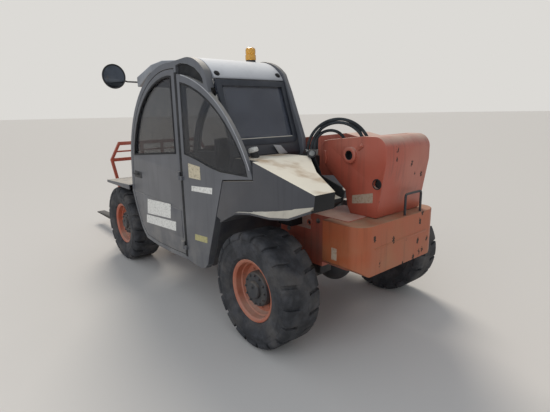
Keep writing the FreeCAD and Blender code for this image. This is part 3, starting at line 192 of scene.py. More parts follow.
def face_of(name: str, outline: Flat, plane: Plane, depth: float) -> Piece:
    """Single flat face with an outline. Returns: the new object."""
    bpy.ops.object.select_all(action="DESELECT")
    bpy.ops.mesh.primitive_circle_add(vertices=len(outline), radius=1, fill_type="NGON")
    piece = bpy.context.active_object
    piece.name = name
    for vertex, (across, up) in zip(piece.data.vertices, outline):
        vertex.co = plane.at(across, up, depth)
    return piece


def extruded(piece: Piece, step: Vector) -> Piece:
    """Extrude a flat face to a closed solid. Returns: the piece."""
    with editing(piece):
        bpy.ops.mesh.extrude_region_move(TRANSFORM_OT_translate={"value": tuple(step)})
    return mended(piece)


def plate(name: str, outline: Flat, plane: Plane, start: float, depth: float,
          ease: float = 0.003, segments: int = 2,
          holes: Sequence[Flat] = ()) -> Piece:
    """Plate with an outline, holes and eased edges.

    Args:
        outline: corners, from the rear axle where they lie along x.
        plane: the plane of the outline.
        start: depth of its first face; depth: its thickness.
        holes: outlines cut through.
    Returns: the plate.
    """
    piece = extruded(face_of(name, outline, plane, start), plane.normal() * depth)
    for index, hole in enumerate(holes):
        tool = extruded(face_of("%s_hole_%d" % (name, index), hole, plane, start - 0.02),
                        plane.normal() * (depth + 0.04))
        carved(piece, tool)
    return eased(piece, ease, segments) if ease else smooth(piece)


def band(name: str, outline: Flat, plane: Plane, start: float, depth: float, width: float,
         ease: float = 0.002) -> Piece:
    """Closed frame of a width that runs just inside an outline. Returns: the frame."""
    piece = face_of(name, outline, plane, start)
    with editing(piece):
        bpy.ops.mesh.inset(thickness=width, depth=0)
        bpy.ops.mesh.delete(type="FACE")
    return eased(extruded(piece, plane.normal() * depth), ease, 2)


def rod(name: str, start: Sequence[float], end: Sequence[float], radius: float,
        sides: int = 32, ease: float = 0.002, top: Optional[float] = None) -> Piece:
    """Round bar, or cone to a top radius, between two points. Returns: the bar."""
    a, b = Vector(start), Vector(end)
    turn = (b - a).to_track_quat("Z", "Y").to_euler()
    bpy.ops.object.select_all(action="DESELECT")
    bpy.ops.mesh.primitive_cone_add(vertices=sides, radius1=radius,
                                    radius2=radius if top is None else top,
                                    depth=(b - a).length, location=(a + b) / 2, rotation=turn)
    piece = settled(bpy.context.active_object, name)
    return eased(piece, ease, 2) if ease else smooth(piece)


def tube(name: str, points: Iterable[Sequence[float]], radius: float, curved: bool = True,
         closed: bool = False, sides: int = 6) -> Piece:
    """Round tube along points.

    Args:
        points: places in the row frame.
        radius: of the tube, in metres.
        curved: follow a spline instead of straight lines.
        closed: join the ends.
        sides: resolution of a quarter of its section.
    Returns: the tube as a mesh.
    """
    line = bpy.data.curves.new(name, "CURVE")
    line.dimensions = "3D"
    line.bevel_depth = radius
    line.bevel_resolution = sides
    line.use_fill_caps = not closed
    line.resolution_u = 10
    points = list(points)
    spline = line.splines.new("NURBS" if curved else "POLY")
    spline.points.add(len(points) - 1)
    for point, place in zip(spline.points, points):
        point.co = (*place, 1)
    if curved:
        spline.use_endpoint_u = not closed
        spline.order_u = 3
    spline.use_cyclic_u = closed
    only(linked(name, line))
    bpy.ops.object.convert(target="MESH")
    piece = bpy.context.active_object
    piece.name = name
    return smooth(mended(piece, 1e-6), 50)


def turned(name: str, profile: Flat, centre: Sequence[float], axis: Sequence[float] = (0, 1, 0),
           steps: int = 72) -> Piece:
    """Closed profile of (radius, along) spun about an axis along x, y or z.

    Args:
        profile: corners of a closed section, in order.
        centre: point on the axis where along is 0.
        axis: direction of the axis.
        steps: faces round the turn.
    Returns: the turned piece.
    """
    way, middle = Vector(axis), Vector(centre)
    out = Vector((1, 0, 0)) if abs(way.x) < 0.5 else Vector((0, 0, 1))
    bpy.ops.object.select_all(action="DESELECT")
    bpy.ops.mesh.primitive_circle_add(vertices=len(profile), radius=1, fill_type="NOTHING")
    piece = bpy.context.active_object
    piece.name = name
    for vertex, (radius, step) in zip(piece.data.vertices, profile):
        vertex.co = middle + out * radius + way * step
    with editing(piece):
        bpy.ops.mesh.spin(steps=steps, angle=2 * math.pi, center=middle, axis=way)
    return smooth(mended(piece), 34)


def joined(name: str, pieces: Sequence[Piece]) -> Piece:
    """Join objects to one with a name. Returns: the joined object."""
    only(pieces[0])
    for piece in pieces[1:]:
        piece.select_set(True)
    if len(pieces) > 1:
        bpy.ops.object.join()
    pieces[0].name = name
    return pieces[0]


def copies(name: str, model: Piece, moves: Iterable[Matrix]) -> Piece:
    """Copy a piece to each place, each copy with its own mesh, and join them.

    The model is used up. Returns: the joined copies.
    """
    made = []
    for move in moves:
        copy = model.copy()
        copy.data = model.data.copy()
        copy.data.transform(move)
        bpy.context.scene.collection.objects.link(copy)
        made.append(copy)
    bpy.data.objects.remove(model)
    return joined(name, made)


def traced(node: str, name: str, ease: float, segments: int = 2,
           angle: float = 28) -> Piece:
    """Merged copy of a CAD node's mesh with its sharp edges rounded. Returns: the copy."""
    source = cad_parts[node]
    mesh = source.data.copy()
    mesh.materials.clear()
    piece = linked(name, mesh)
    with editing(piece):
        bpy.ops.mesh.remove_doubles(threshold=2e-5)
        bpy.ops.mesh.dissolve_limited(angle_limit=math.radians(1.5))
    for attribute in ("custom_normal", "sharp_face"):
        if attribute in mesh.attributes:
            mesh.attributes.remove(mesh.attributes[attribute])
    if ease:
        worked(piece, "BEVEL", width=ease, segments=segments, limit_method="ANGLE",
               angle_limit=math.radians(angle), use_clamp_overlap=True, loop_slide=True)
    return smooth(piece, 32)


def bolt(name: str, at: Sequence[float], out: Sequence[float], size: float = 0.011,
         height: float = 0.008) -> Piece:
    """Hexagon bolt head on its washer. Returns: the bolt."""
    foot, way = Vector(at), Vector(out).normalized()
    washer = rod(name + "_washer", foot - way * 0.001, foot + way * 0.003, size * 1.45, 20, 0.0006)
    head = rod(name + "_head", foot + way * 0.002, foot + way * (0.003 + height), size, 6, 0.0012)
    return joined(name, [washer, head])


def bolts(name: str, places: Sequence[Sequence[float]], out: Sequence[float],
          size: float = 0.011) -> Piece:
    """One bolt copied to several places. Returns: the joined bolts."""
    first = Vector(places[0])
    model = bolt(name + "_one", places[0], out, size)
    return copies(name, model, [Matrix.Translation(Vector(p) - first) for p in places])


# Finishes

def linear(colour: str) -> tuple[float, float, float, float]:
    """Returns: the linear colour of an sRGB hex value such as #aa5533."""
    parts = [int(colour[i:i + 2], 16) / 255 for i in (1, 3, 5)]
    return (*(c / 12.92 if c <= 0.04045 else ((c + 0.055) / 1.055) ** 2.4 for c in parts), 1.0)


@dataclass
class Graph:
    """Nodes of one material or world, by what they do."""
    tree: bpy.types.NodeTree

    @cached_property
    def place(self) -> bpy.types.Node:
        """Returns: the surface's own coordinates."""
        return self.add("TexCoord")

    def add(self, kind: str, links: Optional[dict] = None, values: Optional[dict] = None,
            **settings: object) -> bpy.types.Node:
        """Add one shader node.

        Args:
            kind: node type without its ShaderNode prefix.
            links: input name or number to the output socket that feeds it.
            values: input name or number to its value.
            settings: the node's own properties.
        Returns: the node.
        """
        node = self.tree.nodes.new("ShaderNode" + kind)
        for name, value in settings.items():
            setattr(node, name, value)
        for name, value in (values or {}).items():
            node.inputs[name].default_value = value
        for name, socket in (links or {}).items():
            self.tree.links.new(socket, node.inputs[name])
        return node

    def put(self, socket: Socket, item: object) -> None:
        """Feed an input from an output, or with a hex colour or a plain value."""
        if isinstance(item, Socket):
            self.tree.links.new(item, socket)
        else:
            socket.default_value = linear(item) if isinstance(item, str) else item

    def surface(self, **inputs: object) -> None:
        """Feed the shader's inputs, each by its name with _ for a space."""
        shader = self.tree.nodes["Principled BSDF"]
        for name, item in inputs.items():
            self.put(shader.inputs[name.replace("_", " ")], item)

    def textured(self, kind: str, scale: float, at: Optional[Socket] = None,
                 values: Optional[dict] = None, **settings: object) -> bpy.types.Node:
        """Returns: a texture's node, on the object's own metres unless at says another place."""
        vector = self.place.outputs["Object"] if at is None else at
        return self.add("Tex" + kind, {"Vector": vector}, {"Scale": scale, **(values or {})},
                        **settings)

    def noise(self, scale: float, detail: float = 4, rough: float = 0.55,
              at: Optional[Socket] = None) -> Socket:
        """Returns: the factor of a noise pattern with a scale per metre."""
        return self.textured("Noise", scale, at, {"Detail": detail, "Roughness": rough}
                             ).outputs["Fac"]

    def stretched(self, scales: Place) -> Socket:
        """Returns: the object's own metres, scaled along each axis."""
        return self.add("Mapping", {"Vector": self.place.outputs["Object"]},
                        {"Scale": scales}).outputs[0]

    def part(self, source: str, axis: int) -> Socket:
        """Returns: one part, 0 to 2, of the place (Object) or of the facing (Normal)."""
        return self.add("SeparateXYZ", {0: self.place.outputs[source]}).outputs[axis]

    def ramped(self, value: Socket, low: float, high: float, first: float = 0.0,
               last: float = 1.0) -> Socket:
        """Returns: a value mapped smoothly from low..high to first..last."""
        return self.add("MapRange", {0: value}, {1: low, 2: high, 3: first, 4: last},
                        interpolation_type="SMOOTHSTEP").outputs[0]

    def maths(self, operation: str, a: object, b: object) -> Socket:
        """Returns: a math operation on two sockets or numbers, kept between 0 and 1."""
        node = self.add("Math", operation=operation, use_clamp=True)
        self.put(node.inputs[0], a)
        self.put(node.inputs[1], b)
        return node.outputs[0]

    def times(self, a: object, b: object) -> Socket:
        """Returns: the product of two sockets or numbers."""
        return self.maths("MULTIPLY", a, b)

    def mixed(self, amount: object, a: object, b: object) -> Socket:
        """Returns: colour a turned to colour b by an amount."""
        node = self.add("Mix", data_type="RGBA")
        for index, item in ((0, amount), (6, a), (7, b)):
            self.put(node.inputs[index], item)
        return node.outputs[2]

    def bump(self, height: Socket, strength: float, depth: float) -> Socket:
        """Returns: the normals of a relief with a strength and a depth in metres."""
        return self.add("Bump", {"Height": height},
                        {"Strength": strength, "Distance": depth}).outputs[0]


@dataclass(frozen=True)
class Finish:
    """A surface finish; each kind builds its own nodes."""
    name: str

    def nodes(self, graph: Graph) -> None:
        """Wire the finish's nodes into the material's graph."""

    def material(self) -> bpy.types.Material:
        """Returns: the finish's material, made on first use."""
        found = bpy.data.materials.get(self.name)
        if found:
            return found
        made = bpy.data.materials.new(self.name)
        made.use_nodes = True
        self.nodes(Graph(made.node_tree))
        return made


@dataclass(frozen=True)
class Enamel(Finish):
    """Sprayed machine enamel: satin film, sun-faded in clouds, dusty on top, chipped in spots."""
    colour: str = "#6d6f70"
    faded: str = "#85868a"
    grime: str = "#4a4a4a"
    dust: str = "#cfc7b6"
    dust_amount: float = 0.9
    low_dust: float = 0.35
    chips: float = 0.0
    chip_colour: str = "#3a2a22"
    even_dust: float = 0.45
    stain: str = ""
    gloss: float = 0.42

    def nodes(self, graph: Graph) -> None:
        """Cloudy fade, run-down grime, dust on faces that look up, chips down to primer."""
        # sun fade in clouds about half a metre across
        clouds = graph.ramped(graph.noise(1.7, 3), 0.38, 0.66)
        colour = graph.mixed(clouds, self.colour, self.faded)
        # rain streaks, 40 mm wide and long down the panel
        drawn = graph.noise(1.0, 5, 0.6, graph.stretched((24, 24, 1.6)))
        colour = graph.mixed(graph.ramped(drawn, 0.5, 0.78, 0.0, 0.5), colour, self.grime)
        # fine speckle of grit, about 4 mm
        speckle = graph.ramped(graph.noise(230, 2), 0.58, 0.75, 0.0, 0.22)
        colour = graph.mixed(speckle, colour, self.faded)
        patches = graph.ramped(graph.noise(5.5, 6, 0.62), 0.3, 0.62, self.even_dust, 1.0)
        lying = graph.times(graph.ramped(graph.part("Normal", 2), 0.25, 0.9), patches)
        low = graph.ramped(graph.part("Object", 2), 1.0, 0.3, 0.0, self.low_dust)
        splash = graph.times(low, graph.ramped(graph.noise(7, 5), 0.35, 0.7))
        cover = graph.times(graph.maths("MAXIMUM", lying, splash), self.dust_amount)
        dust: object = self.dust
        if self.stain:
            # brown tide marks where water dried, about 250 mm across
            marks = graph.ramped(graph.noise(4.2, 4, 0.5), 0.46, 0.66, 0.0, 0.8)
            dust = graph.mixed(marks, self.dust, self.stain)
        colour = graph.mixed(cover, colour, dust)
        film = graph.maths("ADD", graph.times(cover, 0.45), self.gloss)
        height = graph.noise(95, 3)
        if self.chips:
            # knocks 10 to 40 mm across on the end that backs into things, taller than wide
            cells = graph.textured("Voronoi", 13.0, graph.stretched((0.1, 1, 0.62)))
            ragged = graph.times(graph.noise(62, 4, 0.65), 0.56)
            pick = graph.add("SeparateColor", {0: cells.outputs["Color"]}).outputs[0]
            size = graph.ramped(pick, 1.0 - 0.85 * self.chips, 1.0, 0.25, 0.52)
            spot = graph.maths("ADD", cells.outputs["Distance"], ragged)
            astern = graph.ramped(graph.part("Normal", 0), -0.5, -0.8)
            broken = graph.times(
                astern, graph.ramped(graph.maths("SUBTRACT", size, spot), 0.0, 0.025))
            colour = graph.mixed(broken, colour, self.chip_colour)
            height = graph.maths("SUBTRACT", height, graph.times(broken, 0.6))
            film = graph.maths("ADD", film, graph.times(broken, 0.3))
        graph.surface(Base_Color=colour, Roughness=film, Normal=graph.bump(height, 0.16, 0.004))


@dataclass(frozen=True)
class Rubber(Finish):
    """Moulded tyre rubber: dull charcoal with scuffed grey patches and patchy dust."""
    colour: str = "#2c2d30"
    scuffed: str = "#404145"
    dust: str = "#6e6964"
    dusty: float = 0.4

    def nodes(self, graph: Graph) -> None:
        """Scuffs, patchy dust and a fine mould grain."""
        scuffs = graph.ramped(graph.noise(14, 6, 0.65), 0.4, 0.66)
        veil = graph.ramped(graph.noise(6, 5, 0.6), 0.4, 0.72, 0.0, self.dusty)
        grain = graph.noise(260, 3)
        graph.surface(
            Base_Color=graph.mixed(veil, graph.mixed(scuffs, self.colour, self.scuffed), self.dust),
            Normal=graph.bump(grain, 0.3, 0.002),
            Roughness=graph.ramped(grain, 0.2, 0.8, 0.72, 0.95))


@dataclass(frozen=True)
class Moulded(Finish):
    """Injection-moulded ABS or vinyl: even colour with a fine pebble grain and light dust."""
    colour: str = "#232426"
    worn: str = "#3a3a3c"
    pebble: float = 420.0
    depth: float = 0.0012
    rough: float = 0.5

    def nodes(self, graph: Graph) -> None:
        """Pebble grain, handled patches and dust on top."""
        handled = graph.ramped(graph.noise(11, 4), 0.42, 0.7)
        colour = graph.mixed(handled, self.colour, self.worn)
        cover = graph.times(graph.ramped(graph.part("Normal", 2), 0.5, 1.0, 0.0, 0.4),
                            graph.ramped(graph.noise(9, 5), 0.35, 0.65))
        cells = graph.textured("Voronoi", self.pebble)
        graph.surface(Base_Color=graph.mixed(cover, colour, "#9a9284"),
                      Normal=graph.bump(cells.outputs["Distance"], 0.35, self.depth),
                      Roughness=graph.maths("ADD", graph.times(cover, 0.4), self.rough))


@dataclass(frozen=True)
class Steel(Finish):
    """Bare or plated steel: turned or ground metal with fine scratches and some oil."""
    colour: str = "#b9bbbd"
    stain: str = "#6c665f"
    rough: float = 0.3
    stained: float = 0.4

    def nodes(self, graph: Graph) -> None:
        """Drawn scratches and blotches of oil and rust."""
        blot = graph.ramped(graph.noise(12, 6, 0.65), 0.45, 0.7, 0.0, self.stained)
        scratch = graph.noise(6, 3, at=graph.stretched((6, 90, 90)))
        graph.surface(Base_Color=graph.mixed(blot, self.colour, self.stain), Metallic=1.0,
                      Roughness=graph.ramped(scratch, 0.3, 0.7, self.rough, self.rough + 0.25))


@dataclass(frozen=True)
class Glazing(Finish):
    """Tinted safety glass: smooth and dark, with pale patches over it that are a thin film of dust
    and a painted reflection.
    """
    colour: str = "#2c3036"
    dust: str = "#8a8780"
    veil: float = 0.2
    clear: float = 0.42

    def nodes(self, graph: Graph) -> None:
        """Pale patches over an even tint: a dust film in rain-washed patches, and a painted
        reflection.
        """
        patch = graph.ramped(graph.noise(3.5, 6, 0.65), 0.35, 0.75, 0.0, self.veil)
        graph.surface(Base_Color=graph.mixed(patch, self.colour, self.dust),
                      Roughness=graph.ramped(patch, 0.0, self.veil, 0.04, 0.3),
                      Alpha=1.0 - self.clear, IOR=1.5)


@dataclass(frozen=True)
class Lens(Finish):
    """Moulded acrylic or polycarbonate lens: clear colour with fine prism lines."""
    colour: str = "#f0a818"
    glow: float = 0.25

    def nodes(self, graph: Graph) -> None:
        """Upright prism lines 3 mm apart."""
        lines = graph.textured("Wave", 60.0, bands_direction="Z").outputs["Fac"]
        tint = graph.mixed(graph.ramped(lines, 0.2, 0.8, 0.0, 0.3), self.colour, "#fff2b0")
        graph.surface(Base_Color=tint, Normal=graph.bump(lines, 0.4, 0.002), Roughness=0.12,
                      Transmission_Weight=self.glow)


@dataclass(frozen=True)
class Label(Finish):
    """Blank vinyl sticker: printed ground colour, rubbed and dusty at places."""
    colour: str = "#e6e5df"
    rubbed: str = "#a9a8a2"

    def nodes(self, graph: Graph) -> None:
        """Rubbed patches over the plain ground."""
        wear = graph.ramped(graph.noise(60, 6, 0.7), 0.45, 0.68, 0.0, 0.7)
        graph.surface(Base_Color=graph.mixed(wear, self.colour, self.rubbed),
                      Roughness=graph.ramped(wear, 0.0, 0.7, 0.35, 0.7))


class Stock:
    """The finishes this machine uses."""
    ORANGE = Enamel("faded_orange_enamel", "#b25744", "#b76d5b", "#77473a", chips=0.3,
                    dust_amount=0.55)
    ORANGE_WEIGHT = Enamel("chipped_orange_enamel", "#ad5a38", "#a9653f", "#7a4228", chips=1.0,
                           dust="#a5896f", dust_amount=0.8, low_dust=0.5)
    ORANGE_RIM = Enamel("dusty_orange_rim_enamel", "#b4573c", "#aa6249", "#7b4230", chips=0.25,
                        dust_amount=0.4)
    GREY = Enamel("grey_panel_enamel", "#595a5e", "#66676b", "#46474a", dust_amount=0.6)
    FRAME = Enamel("dark_grey_frame_enamel", "#585a5f", "#64666b", "#434549", dust_amount=0.4)
    # light grey: rubbed metal on the strap, and a painted highlight on the rail's edge
    RUBBED_AND_HIGHLIGHT = Enamel("rubbed_grey_and_painted_highlight", "#b9babb", "#a4a5a8", "#8b8c90", dust_amount=0.2)
    DARK = Enamel("dark_grey_cover_enamel", "#3c3d42", "#45464b", "#2d2e32", dust="#e3dccb",
                  dust_amount=1.0, low_dust=0.15, even_dust=0.95, stain="#a98d6c")
    BORDER = Moulded("dark_bonded_border", "#2b2e35", "#363940", rough=0.35)
    # painted shade: near-black that stands in for the shade on the rear cover's inner wall and rear
    # end
    PAINTED_SHADE = Enamel("painted_shade_black_enamel", "#0d0e11", "#131417", "#0a0b0d", dust="#2c2b2a",
                   dust_amount=0.3, low_dust=0.1, gloss=0.7)
    # pale beige: silt on the ledge, and a painted highlight on the slope
    SILT_AND_HIGHLIGHT = Enamel("silt_and_highlight_ledge_enamel", "#8d8577", "#cabfad", "#5f5a52", dust="#e3dccb")
    # the near-white on the roof's upward faces is dust and a painted highlight of the light on its
    # top
    ROOF = Enamel("grey_roof_enamel", "#787b81", "#888b90", "#606267", dust="#e4e5e6",
                  dust_amount=1.0, even_dust=0.8, gloss=0.3)
    BLACK = Enamel("black_chassis_paint", "#232427", "#35363a", "#15161a", dust="#8d8578",
                   dust_amount=0.55, gloss=0.5)
    TYRE = Rubber("charcoal_tyre_rubber")
    HOSE = Rubber("black_hose_rubber", "#1d2226", "#2f363b", "#5f5f60", 0.25)
    SEAL = Rubber("black_window_seal", "#17181a", "#26272a", "#5a5751", 0.2)
    PLASTIC = Moulded("moulded_black_plastic")
    VINYL = Moulded("black_seat_vinyl", "#26272b", "#3d3e42", 260.0, 0.002, 0.42)
    CHROME = Steel("hard_chrome_plate", "#d5d7d9", "#8d8a86", 0.08, 0.15)
    STEEL = Steel("worn_fork_steel", "#4a4845", "#2e2a27", 0.42, 0.6)
    ZINC = Steel("zinc_plated_steel", "#8e8f8c", "#5e5a52", 0.35, 0.5)
    IRON = Enamel("cast_engine_enamel", "#2f3134", "#3d3f42", "#1b1c1e", gloss=0.55)
    # the glass's pale patches are dust and a painted reflection of the surroundings
    GLASS = Glazing("clear_side_glass", "#24272d", "#7d7f84", 0.14, 0.52)
    REAR_GLASS = Glazing("dark_rear_glass", "#3d424e", "#767b88", 0.25, 0.3)
    AMBER = Lens("amber_beacon_lens")
    CLEAR = Lens("clear_lamp_lens", "#dfe3e6", 0.5)
    MIRROR = Steel("tinted_mirror_glass", "#5a5f66", "#3e4147", 0.04, 0.5)
    WHITE = Label("blank_white_label")
    YELLOW = Label("blank_yellow_label", "#b5ad74", "#8f8c74")
    CREAM = Label("blank_cream_label", "#cbc0a4", "#978b74")
    FADED = Label("blank_faded_label", "#b9a894", "#98684f")


def dress(piece: Piece, finish: Finish, slot: str, *nodes: str, body: str = "chassis") -> Piece:
    """Give a piece its finish and body.

    Args:
        piece: the finished mesh.
        finish: its surface.
        slot: not used.
        nodes: CAD nodes that it stands for.
        body: CAD body that it rides on.
    Returns: the piece.
    """
    piece.data.materials.clear()
    piece.data.materials.append(finish.material())
    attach(piece, body)
    if nodes:
        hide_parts(*nodes)
    LOG.info("%s: %s on %s, %d faces", piece.name, finish.name, body, len(piece.data.polygons))
    return piece


def coated(node: str, finish: Finish) -> None:
    """Give a CAD node that stays in view a better material."""
    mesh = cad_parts[node].data
    mesh.materials.clear()
    mesh.materials.append(finish.material())


def bowed(rows: Sequence[tuple[float, float, float]], step: float = 7.0) -> list:
    """Corners of an outline whose arriving edges may be arcs.

    Args:
        rows: (across, up, radius of the edge that arrives: 0 for a straight one, less than
            0 where the arc bends inwards).
        step: largest turn between two points of an arc, in degrees.
    Returns: the outline's points.
    """
    points = []
    for index, (x, y, radius) in enumerate(rows):
        end = Vector((x, y))
        start = Vector(rows[index - 1][:2])
        if radius:
            half = (end - start) / 2
            way, size = math.copysign(1, radius), abs(radius)
            reach = math.sqrt(size ** 2 - half.length ** 2) * way
            centre = start + half + Vector((-half.y, half.x)).normalized() * reach
            first = math.atan2(start.y - centre.y, start.x - centre.x)
            sweep = 2 * math.asin(half.length / size) * way
            count = max(2, int(math.degrees(abs(sweep)) / step))
            points += [(centre.x + size * math.cos(first + sweep * k / count),
                        centre.y + size * math.sin(first + sweep * k / count))
                       for k in range(1, count)]
        points.append((x, y))
    return points


def turns(count: int) -> list[float]:
    """Returns: angles evenly round a full turn, from 0."""
    return [2 * math.pi * k / count for k in range(count)]


def ring_of(count: int, radius: float, centre: Sequence[float]) -> list:
    """Returns: places evenly round a circle about an axis along y."""
    return [(centre[0] + radius * math.sin(t), centre[1], centre[2] + radius * math.cos(t))
            for t in turns(count)]


# The machine's sub-assemblies

@dataclass
class Wheels:
    """Four industrial tyres with block treads on dished rims, and their steering knuckles."""
    wheelbase: float = 2.45
    centre_y: float = 0.745
    radius: float = 0.42
    half_width: float = 0.155
    carcass: float = 0.401
    pitch_count: int = 18
    lug_half: float = 0.061
    hub_radius: float = 0.128

    def carcass_profile(self) -> Flat:
        """Returns: the tyre's section without its lugs, with moulded rings on its walls."""
        w = self.half_width
        side = [(0.2108, w - 0.04), (0.229, w - 0.036), (0.234, w - 0.024),
                (0.244, w - 0.017), (0.248, w - 0.0125), (0.254, w - 0.0125),
                (0.258, w - 0.0105), (0.29, w - 0.004), (0.318, w - 0.002),
                (0.322, w - 0.0002), (0.328, w - 0.0002), (0.332, w - 0.003),
                (0.36, w - 0.006), (0.382, w - 0.012), (self.carcass - 0.006, w - 0.026),
                (self.carcass, w - 0.048), (self.carcass, 0.052), (self.radius - 0.002, 0.044)]
        return side + [(r, -y) for r, y in reversed(side)]

    def lug(self, name: str, side: int) -> Piece:
        """One tread block that turns down over the shoulder.

        Args:
            side: 1 for the outer row, -1 for the inner.
        Returns: the block at the top of a wheel whose axis is at the origin.
        """
        top = self.radius - 0.0008
        w = self.half_width
        section = [(0.03, self.carcass - 0.01), (0.034, top), (w - 0.034, top),
                   (w - 0.016, top - 0.007), (w - 0.0035, top - 0.024), (w - 0.0008, top - 0.044),
                   (w - 0.01, top - 0.054), (w - 0.034, self.carcass - 0.014)]
        piece = plate(name, section, Plane.FRONT, -self.lug_half, 2 * self.lug_half, 0.0045, 2)
        for cut in (-0.5, 0.0, 0.5):
            with editing(piece):
                bpy.ops.mesh.bisect(plane_co=(cut * self.lug_half, 0, 0), plane_no=(1, 0, 0))
        # skewed so that the rows look like one directional tread
        shear = Matrix(((1, 0.22, 0, -0.22 * 0.07), (0, 1, 0, 0), (0, 0, 1, 0), (0, 0, 0, 1)))
        piece.data.transform(shear)
        for vertex in piece.data.vertices:
            turn, reach = vertex.co.x / self.radius, vertex.co.z
            vertex.co.x, vertex.co.z = reach * math.sin(turn), reach * math.cos(turn)
        if side < 0:
            piece.data.transform(Matrix.Scale(-1, 4, Vector((0, 1, 0))))
            mended(piece)
        return piece

    def tyre(self, name: str, centre: Vector) -> Piece:
        """Returns: carcass with both rows of lugs, half a pitch apart."""
        body = turned("carcass", self.carcass_profile(), centre, steps=80)
        rows = []
        for side in (1, -1):
            step = 2 * math.pi / self.pitch_count
            start = 0.0 if side > 0 else 0.5
            rows.append(copies("lugs", self.lug("lug", side), [
                Matrix.Translation(centre) @ Matrix.Rotation((k + start) * step, 4, "Y")
                for k in range(self.pitch_count)]))
        return smooth(joined(name, [body] + rows), 40)

    def rim(self, name: str, centre: Vector, side: int) -> Piece:
        """Returns: rolled rim with its pressed disc, nuts and valve."""
        outer = [(0.21, 0.116), (0.2278, 0.1162), (0.228, 0.1235), (0.225, 0.1262),
                 (0.219, 0.126), (0.208, 0.12), (0.201, 0.112), (0.199, 0.09),
                 (0.196, 0.07), (0.188, 0.064), (0.184, 0.048), (0.174, 0.034),
                 (0.158, 0.0285), (0.124, 0.0262), (0.124, 0.012), (0.156, 0.013),
                 (0.176, 0.018), (0.193, 0.03), (0.196, -0.06), (0.201, -0.118),
                 (0.219, -0.126), (0.227, -0.125), (0.2278, -0.1162), (0.21, -0.116)]
        disc = turned(name, [(r, side * a) for r, a in outer], centre, steps=96)
        face = centre + Vector((0, side * 0.0275, 0))
        nuts = bolts(name + "_nuts", ring_of(10, 0.148, face), (0, side, 0), 0.0105)
        stem = rod(name + "_valve", centre + Vector((0.174, side * 0.03, 0.05)),
                   centre + Vector((0.178, side * 0.075, 0.052)), 0.0042, 12, 0.001)
        return smooth(joined(name, [disc, nuts, stem]), 34)

    def hub(self, name: str, centre: Vector, side: int) -> Piece:
        """Returns: planetary hub drum with its cover bolts and plugs."""
        r = self.hub_radius
        section = [(0.0, -0.03), (0.086, -0.03), (0.086, 0.0115), (r - 0.006, 0.0115),
                   (r - 0.004, 0.0275), (r, 0.03), (r, 0.066), (r - 0.004, 0.072),
                   (r - 0.004, 0.08), (r - 0.012, 0.088), (0.092, 0.0915), (0.066, 0.0925),
                   (0.063, 0.108), (0.056, 0.115), (0.0, 0.1155)]
        drum = turned(name, [(a, side * b) for a, b in section], centre, steps=80)
        face = centre + Vector((0, side * 0.09, 0))
        cover = bolts(name + "_cover", ring_of(12, 0.104, face), (0, side, 0), 0.0075)
        plug = bolt(name + "_plug", centre + Vector((0.0, side * 0.1155, 0.026)), (0, side, 0),
                    0.01, 0.007)
        return joined(name, [drum, cover, plug])

    def build(self) -> None:
        """Build the four wheels and the knuckles behind them."""
        for end, x in (("front", self.wheelbase), ("rear", 0.0)):
            for hand, side in HANDS:
                where = "%s_%s" % (end, hand)
                centre = Vector((along(x), side * self.centre_y, self.radius))
                dress(self.tyre("treaded_tyre_" + where, centre), Stock.TYRE, "tyre_rubber",
                      "tyre_" + where, body="wheel_" + where)
                dress(self.rim("dished_rim_" + where, centre, side), Stock.ORANGE_RIM,
                      "orange_paint", "rim_" + where, body="wheel_" + where)
                dress(self.hub("hub_" + where, centre, side), Stock.BLACK, "axle_black",
                      body="wheel_" + where)
                dress(traced("knuckle_" + where, "steering_knuckle_" + where, 0.003), Stock.BLACK,
                      "axle_black", "knuckle_" + where, body="steer_" + where)


